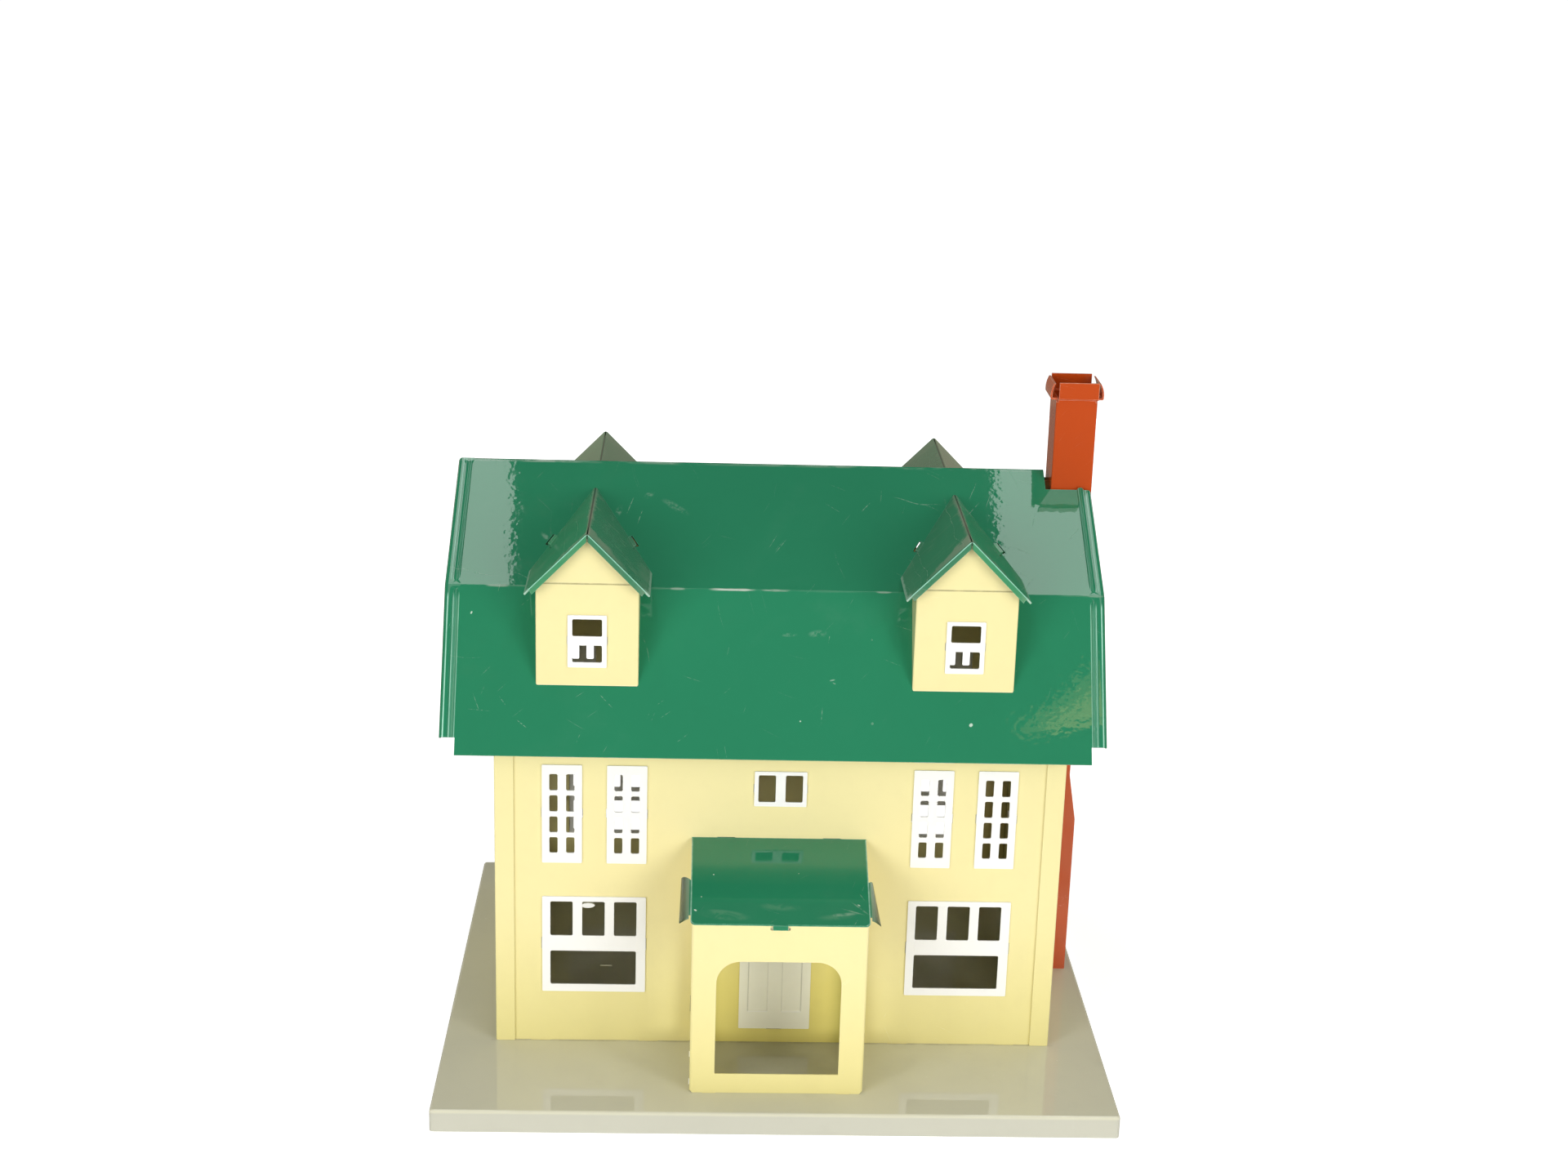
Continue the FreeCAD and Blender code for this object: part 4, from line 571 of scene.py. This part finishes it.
MAT["insert"] = enamel("insert_enamel_white", WHITE, "xz", rough=0.18, haze=0.04, haze_color=(0.97, 0.97, 0.93), scratch=0.2,
                       scratch_color=(0.75, 0.74, 0.68), edge=0.5, edge_wear_highlight_color=(0.97, 0.97, 0.94), chips=0.1, grime=0.10,
                       grime_color=(0.62, 0.58, 0.46), vary=0.01, extra=insert_tint_and_painted_light)
MAT["chimney"] = enamel("chimney_enamel_red", ORANGE, "xz", rough=0.09, peel=1.0, haze=0.04, haze_color=(0.56, 0.17, 0.08), scratch=0.8,
                        scratch_color=(0.78, 0.36, 0.22), edge=1.0, edge_wear_highlight_color=(0.86, 0.44, 0.30), chips=0.6, grime=0.10,
                        grime_color=(0.25, 0.05, 0.02), vary=0.03, extra=chimney_age)
MAT["bracket"] = metal("bracket_plated_steel", (0.60, 0.60, 0.58), rough=0.30, brushed=0.6, tarnish=0.35, axis="y")
MAT["rivet"] = metal("rivet_plated_steel", (0.66, 0.66, 0.64), rough=0.24, brushed=0.1, tarnish=0.3)
MAT["brass"] = metal("socket_brass_shell", (0.80, 0.62, 0.30), rough=0.26, brushed=0.3, tarnish=0.45)
MAT["contact"] = metal("contact_brass_tip", (0.83, 0.66, 0.34), rough=0.22, brushed=0.2, tarnish=0.3)
MAT["cap"] = metal("bulb_cap_brass_shell", (0.84, 0.69, 0.40), rough=0.20, brushed=0.2, tarnish=0.25)


def fibre_material():
    m, T = new_material("insulator_red_fibre")
    P = T.node("ShaderNodeTexCoord").outputs["Object"]
    flake = T.noise(T.vmath("MULTIPLY", P, (900, 900, 4200)), 1.0, 4.0, 0.7)
    speck = T.remap(T.noise(P, 1500.0, 3.0, 0.7), 0.58, 0.75)
    col = T.mix(T.remap(flake, 0.3, 0.7), rgb(0.16, 0.045, 0.025), rgb(0.34, 0.11, 0.06))
    col = T.mix(T.mul(speck, 0.4), col, rgb(0.5, 0.26, 0.16))
    n = T.bump(flake, 0.00003)
    b = T.node("ShaderNodeBsdfPrincipled", ins={"Base Color": col, "Roughness": T.remap(flake, 0.2, 0.8, 0.5, 0.75), "Normal": n})
    out = T.node("ShaderNodeOutputMaterial")
    T.t.links.new(b.outputs[0], out.inputs[0])
    return m


def glass_material():
    m, T = new_material("bulb_blown_glass")
    P = T.node("ShaderNodeTexCoord").outputs["Object"]
    n = T.bump(T.noise(P, 180.0, 2.0), 0.00004)
    dust = T.mul(T.remap(T.noise(P, 900.0, 4.0, 0.7), 0.5, 0.8), 0.22)
    b = T.node("ShaderNodeBsdfPrincipled", ins={"Base Color": T.mix(dust, rgb(0.98, 0.985, 0.98), rgb(0.80, 0.80, 0.76)),
                                                "Roughness": T.add(T.mul(dust, 0.5), 0.015), "Normal": n})
    b.inputs["IOR"].default_value = 1.48
    b.inputs["Transmission Weight"].default_value = 1.0
    out = T.node("ShaderNodeOutputMaterial")
    T.t.links.new(b.outputs[0], out.inputs[0])
    return m


MAT["filament"] = metal("filament_tungsten_wire", (0.36, 0.36, 0.38), rough=0.35, brushed=0.1, tarnish=0.3, tarnish_color=(0.10, 0.10, 0.11))
MAT["blackglass"] = enamel("cap_black_glass", rgb(0.02, 0.02, 0.025), "xy", rough=0.08, peel=0.6, haze=0.1, haze_color=(0.12, 0.12, 0.12), scratch=0.3, scratch_color=(0.3, 0.3, 0.3), edge=0.2, chips=0.3, grime=0.2)
MAT["fibre"] = fibre_material()
MAT["glass"] = glass_material()


def material_for(n):
    if n == "base_tray":
        return "base"
    if n == "main_roof":
        return "roof"
    if n.startswith("dormer_roof"):
        return "dormer_roof"
    if n == "porch_roof":
        return "porch_roof"
    if "window" in n or n.endswith("_door"):
        return "insert"
    if n in ("left_wall", "right_wall"):
        return "wall_y"
    if n.endswith("_wall") or n == "porch_walls" or n.startswith("dormer_walls"):
        return "wall_x"
    if n.startswith("chimney"):
        return "chimney"
    return {"lamp_bracket": "bracket", "bracket_rivets": "rivet", "lamp_socket": "brass", "centre_contact": "contact",
            "socket_insulator": "fibre", "bulb_base": "cap", "bulb_glass": "glass"}[n]


BEVEL = {"base_tray": 0.00018, "main_roof": 0.00016, "bulb_glass": 0, "bulb_base": 0, "lamp_socket": 0, "centre_contact": 0.0001,
         "socket_insulator": 0.0001, "bracket_rivets": 0}
for name, obj in NODES.items():
    mat = MAT[material_for(name)]
    if obj.material_slots:
        for s in obj.material_slots:
            s.material = mat
    else:
        obj.data.materials.append(mat)
    w = BEVEL.get(name, 0.00016)
    if w:
        mod = obj.modifiers.new("weld", "WELD")
        mod.merge_threshold = 0.000002
        bev = obj.modifiers.new("edges", "BEVEL")
        bev.width = w
        bev.segments = 2
        bev.limit_method = "ANGLE"
        bev.angle_limit = math.radians(40)
        bev.use_clamp_overlap = True
        bev.miter_outer = "MITER_ARC"
        bev.harden_normals = False
        wn = obj.modifiers.new("normals", "WEIGHTED_NORMAL")
        wn.weight = 100
        wn.keep_sharp = False


# ----------------------------------------------------------------------- lamp
LX, LY = 0.0, 0.062


def finish_piece(name, verts, faces, mat, body, nodes=()):
    mesh = bpy.data.meshes.new(name)
    mesh.from_pydata(verts, [], faces)
    mesh.update()
    for poly in mesh.polygons:
        poly.use_smooth = True
    mesh.materials.append(MAT[mat])
    obj = bpy.data.objects.new(name, mesh)
    SCENE.collection.objects.link(obj)
    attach(obj, body)
    if nodes:
        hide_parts(*nodes)
    return obj


def grid(rows, closed_rows=False):
    """Faces over rows of rings that all have the same number of points."""
    n = len(rows[0])
    verts = [v for r in rows for v in r]
    faces = []
    m = len(rows)
    for i in range(m if closed_rows else m - 1):
        for k in range(n):
            a, b = i * n + k, i * n + (k + 1) % n
            j = (i + 1) % m
            faces.append((a, b, j * n + (k + 1) % n, j * n + k))
    return verts, faces


def turned(name, prof, mat, body, nodes=(), n=72, ring=True):
    """A turned part from a profile of (radius, height) in mm; ring closes the profile on itself."""
    rows = [[(LX + r * 0.001 * math.cos(2 * math.pi * k / n), LY + r * 0.001 * math.sin(2 * math.pi * k / n), z * 0.001) for k in range(n)] for r, z in prof]
    verts, faces = grid(rows, ring)
    if not ring:
        faces.append(tuple(range(n))[::-1])
        faces.append(tuple(range((len(prof) - 1) * n, len(prof) * n)))
    return finish_piece(name, verts, faces, mat, body, nodes)


def screwed(name, z0, z1, r_of, t, pitch, depth, mat, body, nodes=(), n=72, step=0.11):
    """A thin shell rolled with a thread: r_of gives the inner root radius and how much thread there is at a height."""
    m = int((z1 - z0) / step) + 1
    outside, inside = [], []
    for i in range(m + 1):
        z = z0 + (z1 - z0) * i / m
        r0, amount = r_of(z)
        o, q = [], []
        for k in range(n):
            th = 2 * math.pi * k / n
            w = 0.5 + 0.5 * math.cos(2 * math.pi * ((z - z0) / pitch - k / n))
            r = r0 + depth * amount * (w ** 0.8)
            o.append((LX + (r + t) * 0.001 * math.cos(th), LY + (r + t) * 0.001 * math.sin(th), z * 0.001))
            q.append((LX + r * 0.001 * math.cos(th), LY + r * 0.001 * math.sin(th), z * 0.001))
        outside.append(o)
        inside.append(q)
    verts, faces = grid(outside + inside[::-1], True)
    return finish_piece(name, verts, faces, mat, body, nodes)


def wire(name, pts, radius, mat, body, n=10):
    """A round wire along points in mm."""
    pts = [Vector(q) * 0.001 for q in pts]
    rows = []
    side = Vector((0, 1, 0))
    for i, q in enumerate(pts):
        d = (pts[min(i + 1, len(pts) - 1)] - pts[max(i - 1, 0)]).normalized()
        a = (side - d * side.dot(d))
        a = a.normalized() if a.length > 1e-6 else Vector((1, 0, 0))
        b = d.cross(a)
        side = a
        rows.append([tuple(q + (a * math.cos(2 * math.pi * k / n) + b * math.sin(2 * math.pi * k / n)) * radius * 0.001) for k in range(n)])
    verts, faces = grid(rows)
    faces.append(tuple(range(n))[::-1])
    faces.append(tuple(range((len(pts) - 1) * n, len(pts) * n)))
    return finish_piece(name, verts, faces, mat, body)


def ease(t):
    t = max(0.0, min(1.0, t))
    return t * t * (3 - 2 * t)


PITCH = 1.81
# socket: flanged foot, threaded shell, rolled rim
screwed("lamp_socket_shell", 26.57, 39.40, lambda z: (5.02 + 0.60 * ease((27.9 - z) / 0.9) + 0.34 * ease((z - 38.6) / 0.7), ease((z - 28.2) / 0.8) * ease((38.4 - z) / 0.8)),
        0.30, PITCH, 0.34, "brass", "house", ["lamp_socket"])
turned("lamp_socket_rim", [(5.66 + 0.30 * math.cos(2 * math.pi * i / 14), 39.25 + 0.30 * math.sin(2 * math.pi * i / 14)) for i in range(14)], "brass", "house")
turned("lamp_socket_foot", [(5.30, 26.58), (5.95, 26.58), (6.0, 26.66), (6.0, 26.98), (5.95, 27.06), (5.30, 27.06)], "brass", "house")
# bulb cap: threaded shell, black glass insulator, solder tip
screwed("bulb_cap_shell", 31.20, 41.60, lambda z: (4.30 - 0.50 * ease((32.0 - z) / 0.8) + 0.04 * ease((z - 40.6) / 0.5), ease((z - 31.7) / 0.8) * ease((40.3 - z) / 0.9)),
        0.24, PITCH, 0.34, "cap", "bulb", ["bulb_base"])
turned("bulb_cap_insulator", [(0.05, 30.35), (1.6, 30.35), (2.3, 30.42), (3.3, 30.75), (3.95, 31.10), (4.05, 31.35), (3.9, 31.6), (0.05, 31.6)], "blackglass", "bulb", ring=False)
turned("bulb_cap_tip", [(0.05, 29.66), (0.7, 29.68), (1.25, 29.84), (1.55, 30.08), (1.62, 30.3), (1.55, 30.42), (0.05, 30.42)], "contact", "bulb", ring=False)


def globe():
    """Blown globe with a neck that goes into the cap."""
    out = []
    for i in range(5):
        out.append((3.72, 38.2 + 0.9 * i))
    for i in range(41):
        a = math.radians(-56.5 + (90.0 + 56.5) * i / 40)
        r = 6.95 * math.cos(a)
        out.append((max(r, 0.02), 48.22 + 6.95 * math.sin(a)))
    soft = [out[0]] + [((out[i - 1][0] + 2 * out[i][0] + out[i + 1][0]) / 4, (out[i - 1][1] + 2 * out[i][1] + out[i + 1][1]) / 4) for i in range(1, len(out) - 1)] + [out[-1]]
    wall = 0.42
    inner = []
    for i, (r, z) in enumerate(soft):
        if i < 4:
            inner.append((r - wall, z))
        else:
            dz, dr = z - 48.22, r
            k = max(0.0, (math.hypot(dr, dz) - wall)) / max(math.hypot(dr, dz), 1e-6)
            inner.append((max(r * k, 0.015) if z > 44 else r - wall, 48.22 + dz * k if z > 44 else z))
    return soft + inner[::-1]


turned("bulb_globe", globe(), "glass", "bulb", ["bulb_glass"])
turned("bulb_stem", [(2.7, 38.6), (2.2, 40.0), (1.5, 41.4), (1.05, 42.6), (0.95, 43.6), (1.15, 44.2), (1.0, 44.7), (0.4, 44.95), (0.03, 45.0), (0.03, 38.6)], "glass", "bulb", ring=False)
for sgn, tag in ((-1, "a"), (1, "b")):
    wire("bulb_lead_" + tag, [(sgn * (0.45 + 2.15 * ease((z - 42.5) / 7.0)), 62.0, z) for z in (39.5, 41.0, 42.5, 43.5, 44.5, 45.5, 46.5, 47.5, 48.5, 49.3)], 0.11, "rivet", "bulb")
coil = []
for i in range(361):
    u = i / 360
    th = 2 * math.pi * 22 * u
    coil.append((-2.6 + 5.2 * u, 62.0 + 0.22 * math.cos(th), 49.2 + 0.9 * math.sin(math.pi * u) + 0.22 * math.sin(th)))
wire("bulb_filament", coil, 0.045, "filament", "bulb", n=6)


# -------------------------------------------------------------- floor and light
def make_floor():
    bm = bmesh.new()
    bmesh.ops.create_circle(bm, cap_ends=True, cap_tris=False, segments=96, radius=1.3)
    mesh = bpy.data.meshes.new("floor")
    bm.to_mesh(mesh)
    bm.free()
    floor = bpy.data.objects.new("floor", mesh)
    SCENE.collection.objects.link(floor)
    m, T = new_material("floor_white_paper")
    P = T.node("ShaderNodeTexCoord").outputs["Object"]
    grain = T.noise(P, 500.0, 3.0, 0.6)
    soft = T.noise(P, 4.0, 2.0)
    lp = T.node("ShaderNodeLightPath")
    seen = lp.outputs["Is Camera Ray"]
    col = T.mix(T.remap(soft, 0.3, 0.7), rgb(0.80, 0.80, 0.795), rgb(0.82, 0.82, 0.815))
    # for camera rays the paper glows, dimmer near the object, which reads as soft shade, and brighter away from it
    # until it joins the backdrop
    far = T.remap(T.vmath("LENGTH", P), 0.16, 0.62, FLOOR_NEAR, FLOOR_FAR)
    glow = T.math("MULTIPLY_ADD", seen, T.math("SUBTRACT", far, FLOOR_BOUNCE), FLOOR_BOUNCE)
    b = T.node("ShaderNodeBsdfPrincipled", ins={"Base Color": col, "Roughness": T.remap(grain, 0.2, 0.8, 0.6, 0.8),
                                                "Normal": T.bump(grain, 0.00004), "Emission Strength": glow})
    b.inputs["Emission Color"].default_value = (1.0, 1.0, 1.0, 1.0)
    # in reflections the floor is a dim warm glow instead of lit paper
    dim = T.node("ShaderNodeEmission", ins={"Color": (1.0, 0.87, 0.68, 1.0), "Strength": 0.24})
    mixed = T.node("ShaderNodeMixShader", ins={0: lp.outputs["Is Glossy Ray"], 1: b.outputs[0], 2: dim.outputs[0]})
    out = T.node("ShaderNodeOutputMaterial")
    T.t.links.new(mixed.outputs[0], out.inputs[0])
    mesh.materials.append(m)


FLOOR_NEAR, FLOOR_FAR, FLOOR_BOUNCE = 0.62, 1.0, 0.44


def make_world():
    w = bpy.data.worlds.new("studio")
    SCENE.world = w
    w.use_nodes = True
    T = Tree(w.node_tree)
    d = T.node("ShaderNodeTexCoord").outputs["Generated"]
    z = T.split(d)[2]
    ramp = T.node("ShaderNodeValToRGB", ins={0: z})
    r = ramp.color_ramp
    r.elements[0].position = 0.0
    r.elements[0].color = (0.34, 0.29, 0.22, 1)
    r.elements[1].position = 1.0
    r.elements[1].color = (0.09, 0.09, 0.09, 1)
    for p, c in ((0.20, (0.34, 0.29, 0.22, 1)), (0.45, (0.20, 0.18, 0.14, 1)), (0.58, (0.09, 0.085, 0.075, 1)), (0.85, (0.06, 0.06, 0.06, 1))):
        e = r.elements.new(p)
        e.color = c
    lp = T.node("ShaderNodeLightPath")
    seen = T.node("ShaderNodeBackground", ins={"Color": (1, 1, 1, 1), "Strength": 1.05})
    gloss = T.node("ShaderNodeBackground", ins={"Color": ramp.outputs[0], "Strength": 1.0})
    fill = T.node("ShaderNodeBackground", ins={"Color": (1.0, 0.99, 0.975, 1), "Strength": 0.18})
    a = T.node("ShaderNodeMixShader", ins={0: lp.outputs["Is Glossy Ray"], 1: fill.outputs[0], 2: gloss.outputs[0]})
    b = T.node("ShaderNodeMixShader", ins={0: lp.outputs["Is Camera Ray"], 1: a.outputs[0], 2: seen.outputs[0]})
    out = T.node("ShaderNodeOutputWorld")
    T.t.links.new(b.outputs[0], out.inputs[0])


def panel(name, loc, aim, sx, sy, radiance, color=(1, 1, 1), shape="RECTANGLE"):
    """A soft box of the given brightness, aimed at a point."""
    d = bpy.data.lights.new(name, "AREA")
    d.shape = shape
    d.size, d.size_y = sx, sy
    d.energy = radiance * math.pi * sx * sy
    d.color = color
    o = bpy.data.objects.new(name, d)
    SCENE.collection.objects.link(o)
    v = (Vector(aim) - Vector(loc)).normalized()
    o.rotation_mode = "QUATERNION"
    o.location = loc
    o.rotation_quaternion = v.to_track_quat("-Z", "Y")
    return o


def flat_panel(name, x0, x1, y0, y1, z, radiance):
    """An overhead box whose edges run along X and Y."""
    d = bpy.data.lights.new(name, "AREA")
    d.shape = "RECTANGLE"
    d.size, d.size_y = x1 - x0, y1 - y0
    d.energy = radiance * math.pi * d.size * d.size_y
    o = bpy.data.objects.new(name, d)
    SCENE.collection.objects.link(o)
    o.location = ((x0 + x1) / 2, (y0 + y1) / 2, z)


make_floor()
make_world()
flat_panel("over_left", -0.40, -0.228, -0.45, 0.50, 1.5, 3.9)
flat_panel("over_right", 0.26, 0.43, -0.45, 0.50, 1.5, 3.9)
panel("top_soft", (0.0, -0.80, 1.95), (0, 0, 0.1), 1.2, 0.5, 1.7)
panel("key_left", (-1.20, -1.50, 0.50), (0, 0, 0.14), 1.1, 0.8, 5.35)
panel("key_right", (1.20, -1.50, 0.50), (0, 0, 0.14), 1.1, 0.8, 5.35)
panel("strip_left", (-1.10, -1.22, 1.10), (0, 0, 0.14), 0.12, 0.7, 8.0)
panel("strip_right", (1.10, -1.22, 1.10), (0, 0, 0.14), 0.12, 0.7, 8.0)
panel("back_left", (-1.6, 1.5, 0.7), (0, 0, 0.12), 0.8, 0.8, 2.0)
panel("back_right", (1.6, 1.5, 0.7), (0, 0, 0.12), 0.8, 0.8, 2.0)


def warm_patch(name, az0, az1, el0, el1, radiance, shape="RECTANGLE"):
    """A small warm light that the right end of the lower front slope mirrors: azimuth and elevation in degrees."""
    eye = Vector((0.13, -0.09, 0.19))
    az, el = math.radians((az0 + az1) / 2), math.radians((el0 + el1) / 2)
    loc = eye + Vector((math.sin(az), -math.cos(az), math.tan(el))) * 1.155
    return panel(name, loc, eye, math.radians(az1 - az0) * 1.155, math.radians(el1 - el0) * 1.47, radiance, (1.0, 0.80, 0.30), shape)


for i in range(5):
    f0, f1 = i / 5, (i + 1) / 5
    left = 9.4 + 5.6 * (f0 + f1) / 2
    warm_patch("warm_a%d" % i, left, 21.0, 36.0 + 2.3 * f0, 36.0 + 2.3 * f1, 1.5)
    warm_patch("warm_b%d" % i, left - 1.7, 21.0, 35.85 + 2.9 * f0, 35.85 + 2.9 * f1, 1.0)
warm_patch("warm_spot", 13.8, 16.8, 39.6, 40.5, 1.0, "ELLIPSE")

SCENE.view_settings.view_transform = "Standard"
SCENE.view_settings.look = "None"
SCENE.view_settings.exposure = 0.0
SCENE.view_settings.gamma = 1.0
